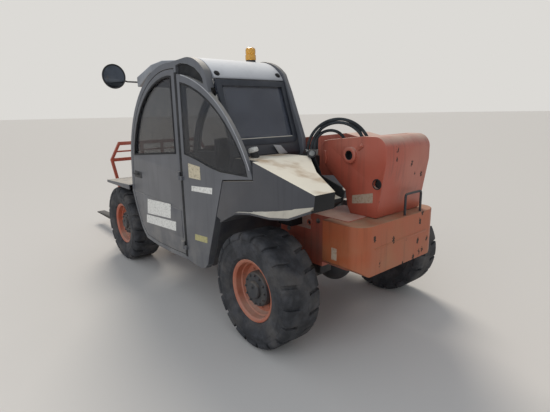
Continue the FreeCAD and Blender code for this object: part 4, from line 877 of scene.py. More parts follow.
@dataclass
class Chassis:
    """Welded frame, axles and counterweight."""
    side_y: float = 0.345
    weight_rear: float = -0.6
    weight_left: float = 0.425
    weight_right: float = 0.5
    weight_low: float = 0.552
    weight_high: float = 0.905
    weight_corner: float = 0.12
    weight_skirt: float = 0.06
    weight_nose: float = -0.4203
    weight_nose_left: float = -0.255
    weight_nose_right: float = -0.385
    loop_x: float = -0.575
    hole_x: float = -0.055
    hole_z: float = 0.834

    def frame(self) -> None:
        """Main frame with the round hole and bolts of its side plate."""
        dress(traced("main_frame", "chassis_frame", 0.005), Stock.ORANGE, "orange_paint",
              "main_frame")
        places = [(along(x), self.side_y + 0.0005, z) for x, z in
                  ((-0.33, 0.86), (-0.33, 0.62), (-0.14, 0.86), (0.18, 0.74), (0.18, 0.56))]
        dress(bolts("frame_bolts_left", places, (0, 1, 0), 0.013), Stock.ZINC, "orange_paint")
        mirrored = [(x, -y, z) for x, y, z in places]
        dress(bolts("frame_bolts_right", mirrored, (0, -1, 0), 0.013), Stock.ZINC, "orange_paint")
        eye = turned("frame_port", [(0.016, 0.0), (0.026, 0.0), (0.026, 0.006), (0.022, 0.009),
                                    (0.016, 0.009)],
                     (along(self.hole_x), self.side_y, self.hole_z), steps=40)
        dress(eye, Stock.ORANGE, "orange_paint")
        cap = rod("frame_port_plug", (along(self.hole_x), self.side_y - 0.001, self.hole_z),
                  (along(self.hole_x), self.side_y + 0.004, self.hole_z), 0.0165, 32, 0.001)
        dress(cap, Stock.BLACK, "orange_paint")

    def axles(self) -> None:
        """Cast axle beams."""
        for end in ("front", "rear"):
            node = "axle_" + end
            dress(traced(node, "axle_beam_" + end, 0.005, 2, 35), Stock.BLACK, "axle_black", node)

    def weight(self) -> None:
        """Cast counterweight with round corners, slanted skirts and a cast rib."""
        x, left, right, corner = (self.weight_rear, self.weight_left, -self.weight_right,
                                  self.weight_corner)
        low, high, skirt = self.weight_low, self.weight_high, self.weight_skirt
        gap, nose = self.side_y + 0.0003, self.weight_nose
        plan = bowed([(nose, gap, 0), (self.weight_nose_left, gap, 0),
                      (self.weight_nose_left, left, 0), (x + corner, left, 0),
                      (x, left - corner, corner), (x, right + corner, 0),
                      (x + corner, right, corner), (self.weight_nose_right, right, 0),
                      (self.weight_nose_right, -gap, 0), (nose, -gap, 0)], 5.0)
        casting = plate("counterweight_casting", plan, Plane.PLAN, low, high - low, 0)
        section = [(right + 0.095, low - 0.001), (left - 0.095, low - 0.001),
                   (left + 0.001, low + skirt), (left + 0.001, high + 0.001),
                   (right - 0.001, high + 0.001), (right - 0.001, low + skirt)]
        shape = plate("counterweight_section", section, Plane.FRONT, along(x) - 0.01, 0.5, 0)
        carved(casting, shape, "INTERSECT")
        dress(eased(mended(casting), 0.016, 4, 24), Stock.ORANGE_WEIGHT, "orange_paint",
              "counterweight")
        rib = plate("counterweight_rib", [(-0.36, 0.742), (0.28, 0.734), (0.28, 0.746),
                                          (-0.36, 0.757)], Plane.FRONT, along(x) - 0.004, 0.01,
                    0.003)
        dress(rib, Stock.ORANGE_WEIGHT, "orange_paint")
        bar = along(self.loop_x)
        points = [(bar, -0.29, high - 0.005), (bar, -0.29, high + 0.11),
                  (bar, -0.29, high + 0.15), (bar, -0.265, high + 0.154),
                  (bar, -0.115, high + 0.154), (bar, -0.09, high + 0.15),
                  (bar, -0.09, high + 0.11), (bar, -0.09, high - 0.005)]
        dress(tube("lashing_loop", points, 0.009), Stock.BLACK, "orange_paint")
        self.weight_label()

    def weight_label(self) -> None:
        """Blank worn label on the weight's left flank."""
        outline = [(-0.392, 0.64), (-0.345, 0.64), (-0.345, 0.725), (-0.392, 0.725)]
        dress(plate("weight_label", outline, Plane.SIDE, self.weight_left - 0.0003, 0.0012, 0),
              Stock.FADED, "orange_paint")

    def build(self) -> None:
        """Build frame, axles and counterweight."""
        self.frame()
        self.axles()
        self.weight()


@dataclass
class Tower:
    """Folded boom tower with pivot bosses, a service hole and a blank label."""
    boom_y: float = -0.12
    half_width: float = 0.27
    pivot: tuple[float, float] = (-0.269, 1.334)
    hole: tuple[float, float] = (-0.5, 1.15)
    hole_radius: float = 0.03
    boss_depth: float = 0.024

    def build(self) -> None:
        """Build the tower and everything on its plates."""
        dress(traced("tower", "boom_tower", 0.01, 3, 30), Stock.ORANGE, "orange_paint", "tower")
        self.bosses()
        self.service_hole()
        self.oval_boss()
        self.label()

    def bosses(self) -> None:
        """Collar, cup and keeper of the boom's pivot on both plates."""
        px, pz = self.pivot
        for hand, side in HANDS:
            y = self.boom_y + side * self.half_width
            end = y + side * self.boss_depth
            boss = turned("pivot_collar_" + hand,
                          [(0.0342, -0.004 * side), (0.0575, -0.004 * side),
                           (0.0575, 0.0005 * side), (0.052, 0.004 * side), (0.04, 0.005 * side),
                           (0.0342, 0.003 * side)], (along(px), end, pz), steps=56)
            dress(boss, Stock.ORANGE, "orange_paint")
            cup = turned("pivot_cup_" + hand,
                         [(0.0, -0.05 * side), (0.0335, -0.05 * side), (0.0335, -0.002 * side),
                          (0.03, -0.002 * side), (0.03, -0.044 * side), (0.0, -0.044 * side)],
                         (along(px), end, pz), steps=48)
            dress(cup, Stock.SEAL, "axle_black")
            keeper = plate("pivot_keeper_" + hand,
                           [(px - 0.048, pz + 0.052), (px - 0.066, pz + 0.03),
                            (px - 0.112, pz + 0.066), (px - 0.094, pz + 0.09)],
                           Plane.SIDE, y + (0.0005 if side > 0 else -0.0085), 0.008, 0.002)
            dress(keeper, Stock.ORANGE, "orange_paint")
            pin_bolt = bolt("pivot_keeper_bolt_" + hand,
                            (along(px - 0.092), y + side * 0.008, pz + 0.068), (0, side, 0), 0.01)
            dress(pin_bolt, Stock.ORANGE, "orange_paint")

    def service_hole(self) -> None:
        """Black grommet round the hole low in the left plate, which also widens the hole's painted
        shade, and a black disc behind the hole as painted shade inside it.
        """
        hx, hz = self.hole
        face = self.boom_y + self.half_width
        # black grommet: a rubber ring that is also painted shade, making the dark of the hole look
        # wider
        lip = turned("service_hole_lip",
                     [(self.hole_radius, -0.001), (self.hole_radius + 0.008, -0.001),
                      (self.hole_radius + 0.006, 0.003), (self.hole_radius, 0.003)],
                     (along(hx), face, hz), steps=48)
        dress(lip, Stock.SEAL, "axle_black")
        # painted shade: a black disc behind the hole stands in for the shade inside the tower
        back = rod("service_hole_back", (along(hx), face - 0.03, hz),
                   (along(hx), face - 0.024, hz), 0.036, 40, 0.001)
        dress(back, Stock.SEAL, "axle_black")

    def label(self) -> None:
        """Blank worn label on the left plate."""
        y = self.boom_y + self.half_width
        outline = [(-0.47, 1.015), (-0.29, 0.985), (-0.29, 1.045), (-0.47, 1.085)]
        dress(plate("tower_label", outline, Plane.SIDE, y - 0.0002, 0.0012, 0), Stock.FADED,
              "orange_paint")

    def oval_boss(self) -> None:
        """Oval boss on the front edge of the left plate."""
        x, z, y = -0.022, 1.302, self.boom_y + self.half_width
        oval = [(x + 0.016 * math.cos(t), z + 0.052 * math.sin(t))
                for t in turns(28)]
        dress(plate("tower_oval_boss", oval, Plane.SIDE, y - 0.002, 0.012, 0.004, 3), Stock.ORANGE,
              "orange_paint")


@dataclass
class Boom:
    """Two-stage box boom with its cylinders, pads and pipes."""
    y: float = -0.12
    pivot: tuple[float, float] = (-0.269, 1.334)
    droop: float = 6.0
    width: float = 0.27
    height: float = 0.32
    outer_end: float = 2.25

    def at(self, reach: float, across: float, up: float) -> Vector:
        """Returns: row frame point of a place in the boom's own frame."""
        t = math.radians(self.droop)
        return Vector((along(self.pivot[0] + reach * math.cos(t) + up * math.sin(t)),
                       self.y + across, self.pivot[1] - reach * math.sin(t) + up * math.cos(t)))

    def build(self) -> None:
        """Build both stages, their wear pad bolts, the pipes and the cylinders."""
        dress(traced("boom_outer", "boom_outer_stage", 0.006), Stock.ORANGE, "orange_paint",
              "boom_outer", body="boom")
        dress(traced("boom_inner", "boom_inner_stage", 0.004), Stock.ORANGE, "head_paint",
              "boom_inner", body="boom_head")
        for hand, side in HANDS:
            face = side * (self.width / 2 + 0.016)
            places = [self.at(self.outer_end - 0.03, face, up) for up in (-0.11, -0.04, 0.04, 0.11)]
            dress(bolts("pad_bolts_" + hand, places, (0, side, 0), 0.009), Stock.ZINC,
                  "orange_paint", body="boom")
        self.pipes()
        for kind, slot, finish in (("barrel", "barrel_black", Stock.BLACK),
                                   ("rod", "rod_chrome", Stock.CHROME)):
            for name in ("lift_" + kind, "tilt_" + kind):
                dress(traced(name, name + "_tube", 0.003, 2, 40), finish, slot, name, body=name)

    def pipes(self) -> None:
        """Two steel pipes in three clamps along the right of the outer stage."""
        for index, up in enumerate((0.030, -0.005)):
            face = -self.width / 2 - 0.013
            run = [self.at(0.22, face + 0.016, up), self.at(0.26, face, up),
                   self.at(0.4, face, up), self.at(1.3, face, up), self.at(2.08, face, up),
                   self.at(2.14, face + 0.012, up)]
            dress(tube("boom_pipe_%d" % index, run, 0.008), Stock.BLACK, "hose_rubber",
                  body="boom")
        clamps = [block("clamp_%d" % k, self.at(reach, -self.width / 2 - 0.0255, -0.022),
                        self.at(reach + 0.035, -self.width / 2 + 0.002, 0.05), 0.003)
                  for k, reach in enumerate((0.55, 1.1, 1.65))]
        dress(joined("boom_pipe_clamps", clamps), Stock.BLACK, "hose_rubber", body="boom")


@dataclass
class Attachment:
    """Fork carriage with its backrest and the pallet forks."""

    def build(self) -> None:
        """Build the carriage and the forks."""
        dress(traced("carriage", "fork_carriage", 0.004), Stock.ORANGE, "orange_paint", "carriage",
              body="carriage")
        dress(traced("forks", "pallet_forks", 0.005), Stock.STEEL, "fork_steel", "forks",
              body="carriage")
        low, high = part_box("forks")
        for index, side in enumerate((1, -1)):
            y = side * (high.y - 0.056)
            hook = block("fork_hook_%d" % index, (low.x - 0.052, y - 0.04, high.z - 0.075),
                         (low.x + 0.02, y + 0.04, high.z - 0.012), 0.006)
            pin = rod("fork_pin_%d" % index, (low.x - 0.02, y, high.z - 0.04),
                      (low.x - 0.02, y, high.z + 0.016), 0.01, 20)
            dress(joined("fork_hook_%d" % index, [hook, pin]), Stock.STEEL, "fork_steel",
                  body="carriage")


@dataclass
class Cab:
    """Cab shell, door, windows and their rubber seals."""
    left_y: float = 0.86
    right_y: float = 0.1
    door_window: tuple = ((1.03, 1.31, 0), (1.955, 1.235, 0), (1.085, 1.945, 0.895),
                          (1.03, 1.94, 0))
    left_wall: tuple = ((-0.036, 1.212, 0), (0.326, 1.169, 0), (0.572, 0.521, 0),
                        (0.596, 0.44, 0), (0.64, 0.396, -0.1), (0.711, 0.381, 0),
                        (0.812, 0.381, 0), (0.946, 0.392, 0), (1.199, 0.378, 0),
                        (1.519, 0.371, 0), (1.809, 0.391, 0), (1.915, 0.48, 0),
                        (2.03, 0.692, 0), (2.095, 0.852, 0), (2.055, 1.199, 0),
                        (1.015, 2.044, 0.99), (0.77, 2.055, 0), (0.5, 1.935, 0.371),
                        (0.466, 1.83, 0), (0.452, 1.786, 0), (-0.03, 1.24, 1.2155))
    door_opening: tuple = ((0.965, 0.43, 0), (1.199, 0.416, 0), (1.519, 0.409, 0),
                           (1.793, 0.427, 0), (1.89, 0.514, 0), (1.998, 0.712, 0),
                           (2.05, 0.856, 0), (2.008, 1.199, 0), (1.045, 1.996, 0.945),
                           (0.965, 1.992, 0))
    quarter_window: tuple = ((0.012, 1.222, 0), (0.349, 1.222, 0), (0.495, 1.241, 0),
                             (0.705, 1.287, 0), (0.885, 1.316, 0), (0.885, 1.883, 0),
                             (0.04, 1.302, 1.19))
    corner_pocket: tuple = ((0.519, 1.846), (0.573, 1.862), (0.649, 1.885), (0.782, 1.922),
                            (0.935, 1.947), (0.931, 2.01), (0.855, 2.02), (0.743, 2.003),
                            (0.639, 1.969), (0.566, 1.922), (0.53, 1.884))
    rail_back: tuple = ((-0.12, 1.228), (0.349, 1.232), (0.495, 1.252), (0.705, 1.3),
                        (0.87, 1.33), (0.87, 1.836), (0.474, 1.828), (0.44, 1.8),
                        (0.1, 1.64), (-0.12, 1.42))
    # line of the painted highlight along the rail's outer edge
    painted_highlight_edge: tuple = ((0.86, 1.9335, 0), (-0.008, 1.27, 1.2085))
    front_section: tuple = ((2.06, 0.961, 0), (2.066, 0.961, 0), (2.046, 1.196, 0),
                            (1.352, 1.955, 0.982), (1.348, 1.949, 0), (2.038, 1.195, -0.976))
    rear_section: tuple = ((0.312, 1.4555), (0.318, 1.4555), (0.476, 1.88), (0.47, 1.88))
    wall: float = 0.058
    rail: float = 0.028
    hinge_x: float = 0.968
    hinge_zs: tuple[float, float] = (0.52, 1.13)
    hinge_length: float = 0.034
    right_window: tuple = ((0.38, 1.31, 0), (1.97, 1.225, 0), (1.04, 1.99, 0.925),
                           (0.68, 1.98, 0), (0.56, 1.88, 0))

    def left_frame(self) -> None:
        """Left wall round the door, with the thin bowed rail behind the quarter window."""
        holes = [bowed(self.door_opening, 4), bowed(self.quarter_window, 4), self.corner_pocket]
        walls = plate("cab_left_frame", bowed(self.left_wall, 4), Plane.SIDE,
                      self.left_y - self.wall, self.wall, 0, holes=holes)
        tool = plate("rail_relief", self.rail_back, Plane.SIDE, self.left_y - self.wall - 0.01,
                     self.wall - self.rail + 0.01, 0)
        pieces = [eased(mended(carved(walls, tool)), 0.009, 3, 30), *self.hinges()]
        dress(joined("cab_left_frame", pieces), Stock.FRAME, "grey_paint", "cab_side_left")
        # painted shade: the panel deep in the corner pocket is black, standing for the panel and the
        # shade that falls on it
        pocket = plate("corner_pocket_panel_painted_shade", self.corner_pocket, Plane.SIDE,
                       self.left_y - 0.034, 0.006, 0)
        dress(pocket, Stock.SEAL, "grey_paint")
        # painted highlight: a light-grey tube along the rail's outer edge stands in for the light
        # caught by that edge
        edge = [(along(x), self.left_y - 0.004, z) for x, z in bowed(self.painted_highlight_edge, 3)]
        dress(tube("rail_painted_highlight", edge, 0.0055, sides=3), Stock.RUBBED_AND_HIGHLIGHT, "grey_paint")

    def hinges(self) -> list:
        """Returns: the pillar's halves of both door hinges, each a knuckle on a strap."""
        pieces, out = [], self.left_y + 0.014
        for index, z in enumerate(self.hinge_zs):
            low, high = z - self.hinge_length, z - 0.0003
            pieces.append(rod("knuckle_%d" % index, (along(self.hinge_x), out, low),
                              (along(self.hinge_x), out, high), 0.011, 28, 0.001))
            pieces.append(block("strap_%d" % index,
                                (along(self.hinge_x - 0.045), self.left_y - 0.004, low),
                                (along(self.hinge_x), out + 0.004, high), 0.002))
        return pieces

    def panes(self) -> None:
        """Quarter, right, rear and bowed front panes, and the door's own pane."""
        inner_low, inner_high = self.right_y + 0.04, self.left_y - self.wall
        quarter = plate("quarter_glass", bowed(self.quarter_window, 4), Plane.SIDE,
                        self.left_y - 0.007, 0.005, 0)
        right = plate("right_glass", bowed(self.right_window, 4), Plane.SIDE,
                      self.right_y + 0.017, 0.006, 0)
        front = plate("front_glass", bowed(self.front_section, 3), Plane.SIDE, inner_low,
                      inner_high - inner_low, 0)
        dress(joined("side_and_front_glass", [quarter, right, front]), Stock.GLASS, "tinted_glass",
              "cab_glass")
        rear = plate("rear_glass", self.rear_section, Plane.SIDE, inner_low,
                     inner_high - inner_low, 0)
        dress(rear, Stock.REAR_GLASS, "tinted_glass")
        coated("door_glass", Stock.GLASS)

    def shell(self) -> None:
        """Walls, tub and roof with eased edges, the glass and the roof bolts."""
        self.left_frame()
        for node, name, ease, finish in (
                ("cab_side_right", "cab_right_frame", 0.010, Stock.FRAME),
                ("cab_tub", "cab_floor_tub", 0.006, Stock.DARK),
                ("cab_roof", "cab_roof_shell", 0.016, Stock.ROOF)):
            dress(traced(node, name, ease, 3), finish, "grey_paint", node)
        self.panes()
        places = [(along(0.482), 0.765, 1.921), (along(0.488), 0.182, 1.929)]
        dress(bolts("roof_bolts", places, (-0.76, 0, 0.65), 0.016), Stock.SEAL, "grey_paint")

    def seals(self) -> None:
        """Rubber seals round the panes, and a black strip down the door gap that is a seal and
        painted shade of the groove.
        """
        for name, rows, y, depth, body in (
                ("door_window_seal", self.door_window, self.left_y - 0.006, 0.009, "door"),
                ("quarter_window_seal", self.quarter_window, self.left_y - 0.008, 0.007, "chassis"),
                ("right_window_seal", self.right_window, self.right_y - 0.004, 0.014, "chassis")):
            outline = bowed(rows)
            piece = band(name, outline, Plane.SIDE, y, depth, 0.016)
            dress(piece, Stock.SEAL, "hose_rubber", body=body)
        self.rear_window()
        # black strip down the door gap: a rubber seal, and painted shade of the groove between door
        # and pillar
        strip = plate("door_gap_strip", [(0.928, 0.42), (0.966, 0.42), (0.966, 1.96),
                                         (0.928, 1.96)], Plane.SIDE, self.left_y - 0.002, 0.0035,
                      0.001)
        dress(strip, Stock.SEAL, "hose_rubber")

    def rear_window(self) -> None:
        """Wide dark border of the rear window, leaning with the glass."""
        low, high, lean = 1.405, 1.88, 0.36
        left, right, corner = self.left_y - 0.06, self.right_y + 0.042, 0.06
        outline = bowed([(right + corner, low, 0), (left, low, 0), (left, high, 0),
                         (right, high, 0), (right, low + corner, 0), (right + corner, low, corner)])
        border = band("rear_window_border", outline, Plane.FRONT, along(0.279), 0.014, 0.045)
        border.data.transform(Matrix(((1, 0, lean, -lean * low), (0, 1, 0, 0), (0, 0, 1, 0),
                                      (0, 0, 0, 1))))
        dress(border, Stock.BORDER, "hose_rubber")

    def door(self) -> None:
        """Door leaf with its pressed lower skin, handle and blank labels."""
        dress(traced("door_panel", "door_leaf_panel", 0.008, 3), Stock.GREY, "grey_paint",
              "door_panel", body="door")
        skin = [(1.0, 0.825), (2.005, 0.862), (1.905, 0.56), (1.0, 0.575)]
        dress(plate("door_pressing", skin, Plane.SIDE, self.left_y - 0.004, 0.007, 0.005, 3),
              Stock.GREY, "grey_paint", body="door")
        cup = [(1.82, 1.012), (1.992, 1.012), (1.986, 1.078), (1.815, 1.074)]
        dress(plate("door_handle_cup", cup, Plane.SIDE, self.left_y - 0.004, 0.006, 0.005, 3),
              Stock.PLASTIC, "console_plastic", body="door")
        lever = tube("door_handle_lever", [(along(1.88), self.left_y + 0.004, 1.05),
                                           (along(1.89), self.left_y + 0.022, 1.05),
                                           (along(1.93), self.left_y + 0.026, 1.051),
                                           (along(1.965), self.left_y + 0.024, 1.052)], 0.008)
        dress(lever, Stock.PLASTIC, "console_plastic", body="door")
        for name, outline in (
                ("door_label", [(1.706, 0.820), (1.195, 0.850), (1.214, 0.712), (1.735, 0.668)]),
                ("door_long_label", [(1.757, 0.650), (1.112, 0.700), (1.125, 0.612),
                                     (1.778, 0.566)])):
            dress(plate(name, outline, Plane.SIDE, self.left_y + 0.0028, 0.001, 0), Stock.WHITE,
                  "grey_paint", body="door")

    def labels(self) -> None:
        """Blank labels on the panel behind the door."""
        for name, outline, finish in (
                ("panel_strip_label", [(0.786, 1.068), (0.468, 1.091), (0.474, 1.042),
                                       (0.792, 1.026)], Stock.WHITE),
                ("panel_high_label", [(0.822, 1.249), (0.636, 1.236), (0.636, 1.132),
                                      (0.822, 1.132)], Stock.CREAM),
                ("panel_low_label", [(0.777, 0.662), (0.580, 0.678), (0.584, 0.628),
                                     (0.783, 0.610)], Stock.YELLOW)):
            dress(plate(name, outline, Plane.SIDE, self.left_y + 0.0002, 0.0012, 0), finish,
                  "grey_paint")

    def build(self) -> None:
        """Build shell, seals, door and labels."""
        self.shell()
        self.seals()
        self.door()
        self.labels()


@dataclass
class Interior:
    """Seat, consoles and steering wheel."""
    seat_x: float = 0.64
    seat_y: float = 0.47
    width: float = 0.46
    cushion_top: float = 0.9
    back_top: float = 1.46
    slack: float = 0.008
    swell: float = 0.022
    voxel: float = 0.006

    def pad(self, name: str, low: Place, high: Place, crown: float,
            up: Place = (0, 0, 1)) -> Piece:
        """Crowned cushion with a sewn edge.

        Args:
            low, high: corners of its space.
            crown: how far its middle stands out.
            up: direction of the crown.
        Returns: the cushion.
        """
        a, b = Vector(low), Vector(high)
        room = Vector((self.slack,) * 3)
        bpy.ops.object.select_all(action="DESELECT")
        bpy.ops.mesh.primitive_cube_add(size=1, location=(a + b) / 2)
        piece = bpy.context.active_object
        piece.scale = b - a - 2 * room
        settled(piece, name)
        with editing(piece):
            bpy.ops.mesh.subdivide(number_cuts=7)
        way, middle, size = Vector(up), (a + b) / 2, b - a
        for vertex in piece.data.vertices:
            local = [(vertex.co[k] - middle[k]) / (size[k] / 2) for k in range(3)]
            flat = [abs(local[k]) for k in range(3) if abs(way[k]) < 0.5]
            swell = (1 - flat[0] ** 4) * (1 - flat[1] ** 4)
            height = sum(local[k] * way[k] for k in range(3))
            vertex.co -= way * (1 - swell) * crown * max(0.0, height)
            for k in range(3):
                if abs(way[k]) < 0.5:
                    vertex.co[k] -= math.copysign(0.014 * flat[0] ** 6 * flat[1] ** 6, local[k])
        worked(piece, "BEVEL", width=0.018, segments=3, limit_method="ANGLE",
               angle_limit=math.radians(50))
        piece = self.swollen(piece, a, b)
        worked(piece, "SUBSURF", levels=1, render_levels=1)
        return smooth(piece, 60)

    def swollen(self, piece: Piece, low: Vector, high: Vector) -> Piece:
        """Fill a cushion with air by cloth simulation.

        Args:
            piece: its shape at rest, which goes.
            low, high: corners of the space that it may fill.
        Returns: a new object with the filled cushion.
        """
        name, mesh = piece.name, piece.data.copy()
        bpy.data.objects.remove(piece)
        made = linked(name, mesh)
        worked(made, "REMESH", mode="VOXEL", voxel_size=self.voxel)
        rest = [vertex.co.copy() for vertex in made.data.vertices]
        cloth = made.modifiers.new("filling", "CLOTH")
        cloth.settings.use_pressure = True
        cloth.settings.uniform_pressure_force = 4.0
        cloth.settings.effector_weights.gravity = 0.0
        for step in range(1, 21):
            bpy.context.scene.frame_set(step)
        only(made)
        bpy.ops.object.modifier_apply(modifier=cloth.name)
        bpy.context.scene.frame_set(1)
        for vertex, start in zip(made.data.vertices, rest):
            move = vertex.co - start
            if move.length > self.swell:
                vertex.co = start + move.normalized() * self.swell
            for k in range(3):
                vertex.co[k] = min(max(vertex.co[k], low[k]), high[k])
        return made

    def seat(self) -> None:
        """Suspension plinth, bottom and back cushions, seams and the shell of the back."""
        x, y, w = self.seat_x, self.seat_y, self.width / 2
        plinth = block("seat_plinth", (along(x + 0.06), y - w + 0.05, 0.452),
                       (along(x + 0.42), y + w - 0.05, 0.792), 0.012, 3)
        dress(plinth, Stock.PLASTIC, "seat_vinyl")
        bottom = self.pad("seat_bottom", (along(x + 0.05), y - w, 0.79),
                          (along(x + 0.48), y + w, self.cushion_top), 0.03)
        dress(bottom, Stock.VINYL, "seat_vinyl", "seat")
        back = self.pad("seat_backrest", (along(x), y - w + 0.01, 0.88),
                        (along(x + 0.12), y + w - 0.01, self.back_top), 0.03, (1, 0, 0))
        dress(back, Stock.VINYL, "seat_vinyl")
        for name, z in (("upper", 1.270), ("lower", 1.060)):
            seam = tube("seat_seam_" + name, [(along(x + 0.112), y - w + 0.05, z),
                                              (along(x + 0.1215), y, z),
                                              (along(x + 0.112), y + w - 0.05, z)], 0.0035)
            dress(seam, Stock.VINYL, "seat_vinyl")
        shell = block("seat_back_shell", (along(x - 0.004), y - w + 0.03, 0.9),
                      (along(x + 0.03), y + w - 0.03, self.back_top - 0.02), 0.014, 3)
        dress(shell, Stock.PLASTIC, "seat_vinyl")

    def wheel(self) -> None:
        """Steering wheel with a grip hoop, three spokes and a spinner knob."""
        rake, reach = math.radians(35), 0.034
        centre = Vector((along(1.56 + reach * math.sin(rake)), self.seat_y,
                         1.15 - reach * math.cos(rake)))
        axis = Vector((-math.sin(rake), 0, math.cos(rake)))
        side = Vector((0, 1, 0))
        ahead = side.cross(axis)
        hoop = [centre + 0.185 * (side * math.cos(t) + ahead * math.sin(t))
                for t in turns(36)]
        pieces = [tube("hoop", hoop, 0.014, closed=True),
                  rod("boss", centre - axis * 0.004, centre + axis * 0.022, 0.044, 40, 0.006)]
        for k in range(3):
            t = 2 * math.pi * k / 3 + math.pi / 2
            out = side * math.cos(t) + ahead * math.sin(t)
            pieces.append(rod("spoke_%d" % k, centre + out * 0.03, centre + out * 0.18,
                              0.011, 16, 0.002, 0.008))
        knob = centre + 0.178 * (side * math.cos(2.2) + ahead * math.sin(2.2))
        pieces.append(rod("knob_stem", knob, knob + axis * 0.02, 0.007, 16))
        pieces.append(rod("knob", knob + axis * 0.016, knob + axis * 0.052, 0.021, 24, 0.008))
        dress(joined("steering_wheel_rim", pieces), Stock.PLASTIC, "console_plastic",
              "steering_wheel")

    def console(self) -> None:
        """Dash and side console with a control lever, an armrest and a gauge hood."""
        dress(traced("console", "dash_console", 0.008, 3), Stock.PLASTIC, "console_plastic",
              "console")
        y = 0.19
        boot = rod("lever_boot", (along(1.3), y, 0.918), (along(1.3), y, 0.965), 0.032, 28,
                   0.004, 0.014)
        stick = rod("lever_stick", (along(1.3), y, 0.955), (along(1.315), y, 1.075), 0.008, 16)
        grip = rod("lever_grip", (along(1.312), y, 1.05), (along(1.325), y, 1.16), 0.019, 24,
                   0.009, 0.023)
        dress(joined("control_lever", [boot, stick, grip]), Stock.PLASTIC, "console_plastic")
        rest = self.pad("armrest_pad", (along(0.8), y - 0.036, 0.918),
                        (along(1.16), y + 0.036, 0.975), 0.012)
        dress(rest, Stock.VINYL, "seat_vinyl")
        hood = block("gauge_hood", (along(1.7), self.seat_y - 0.12, 0.826),
                     (along(1.79), self.seat_y + 0.12, 0.905), 0.014, 3)
        dress(hood, Stock.PLASTIC, "console_plastic")

    def build(self) -> None:
        """Build seat, wheel and console."""
        self.seat()
        self.wheel()
        self.console()


@dataclass
class Covers:
    """Fenders, engine bay and its lid."""
    # faces of the rear left cover inboard of this y get the painted shade
    painted_shade_y: float = 0.42
    wall_y: float = 0.86
    lip_y: float = 0.8885
    # distance from the rear axle, height on the lip and height on the wall
    flare_rows: tuple = ((-0.6, 1.106, 1.126), (-0.419, 1.03, 1.083), (-0.251, 1.003, 1.044),
                         (-0.14, 0.999, 1.021), (-0.043, 0.995, 1.001))

    def flare(self) -> None:
        """Slope between the cover's side and its lip: pale silt, and a painted highlight where the
        light catches the slope.
        """
        low = [(x, lip - 0.002) for x, lip, _ in self.flare_rows]
        high = [(x, wall) for x, _, wall in reversed(self.flare_rows)]
        piece = plate("cover_flare", low + high, Plane.SIDE, self.wall_y - 0.004,
                      self.lip_y - self.wall_y + 0.004, 0)
        lips = {round(along(x), 3): lip for x, lip, _ in self.flare_rows}
        for vertex in piece.data.vertices:
            if vertex.co.y > self.lip_y - 0.001:
                vertex.co.z = min(vertex.co.z, lips[round(vertex.co.x, 3)] + 0.001)
        dress(smooth(mended(piece), 30), Stock.SILT_AND_HIGHLIGHT, "grey_paint")

    def build(self) -> None:
        """Build the fenders and the engine housing with its louvres."""
        cover = dress(traced("fender_rear_left", "rear_left_cover", 0.014, 3, 20), Stock.DARK,
                      "grey_paint", "fender_rear_left")
        # painted shade: the wall towards the boom and the rear end are near-black to stand in for the
        # shade that falls on them
        cover.data.materials.append(Stock.PAINTED_SHADE.material())
        for face in cover.data.polygons:
            inner = face.center.y < self.painted_shade_y or face.normal.y < -0.25
            if inner or face.normal.x < -0.45:
                face.material_index = 1
        self.flare()
        for node, name, ease, finish in (
                ("fenders_front", "front_mudguards", 0.004, Stock.GREY),
                ("fender_rear_right", "rear_right_mudguard", 0.004, Stock.GREY),
                ("engine_bay", "engine_bay_tub", 0.005, Stock.DARK)):
            dress(traced(node, name, ease), finish, "grey_paint", node)
        dress(traced("engine_hood", "engine_lid", 0.01, 3), Stock.GREY, "grey_paint",
              "engine_hood", body="hood")
        coated("engine_block", Stock.IRON)
        low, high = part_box("engine_hood")
        slats = []
        for k in range(9):
            x = low.x + 0.16 + k * 0.085
            slats.append(block("louvre_%d" % k, (x, low.y - 0.004, low.z + 0.07),
                               (x + 0.05, low.y + 0.006, low.z + 0.24), 0.004))
        dress(joined("hood_louvres", slats), Stock.BLACK, "grey_paint", body="hood")
        latch = [block("hood_latch_%d" % k, (x, low.y - 0.007, low.z + 0.008),
                       (x + 0.06, low.y + 0.004, low.z + 0.045), 0.005)
                 for k, x in enumerate((low.x + 0.1, high.x - 0.16))]
        dress(joined("hood_latches", latch), Stock.BLACK, "grey_paint", body="hood")


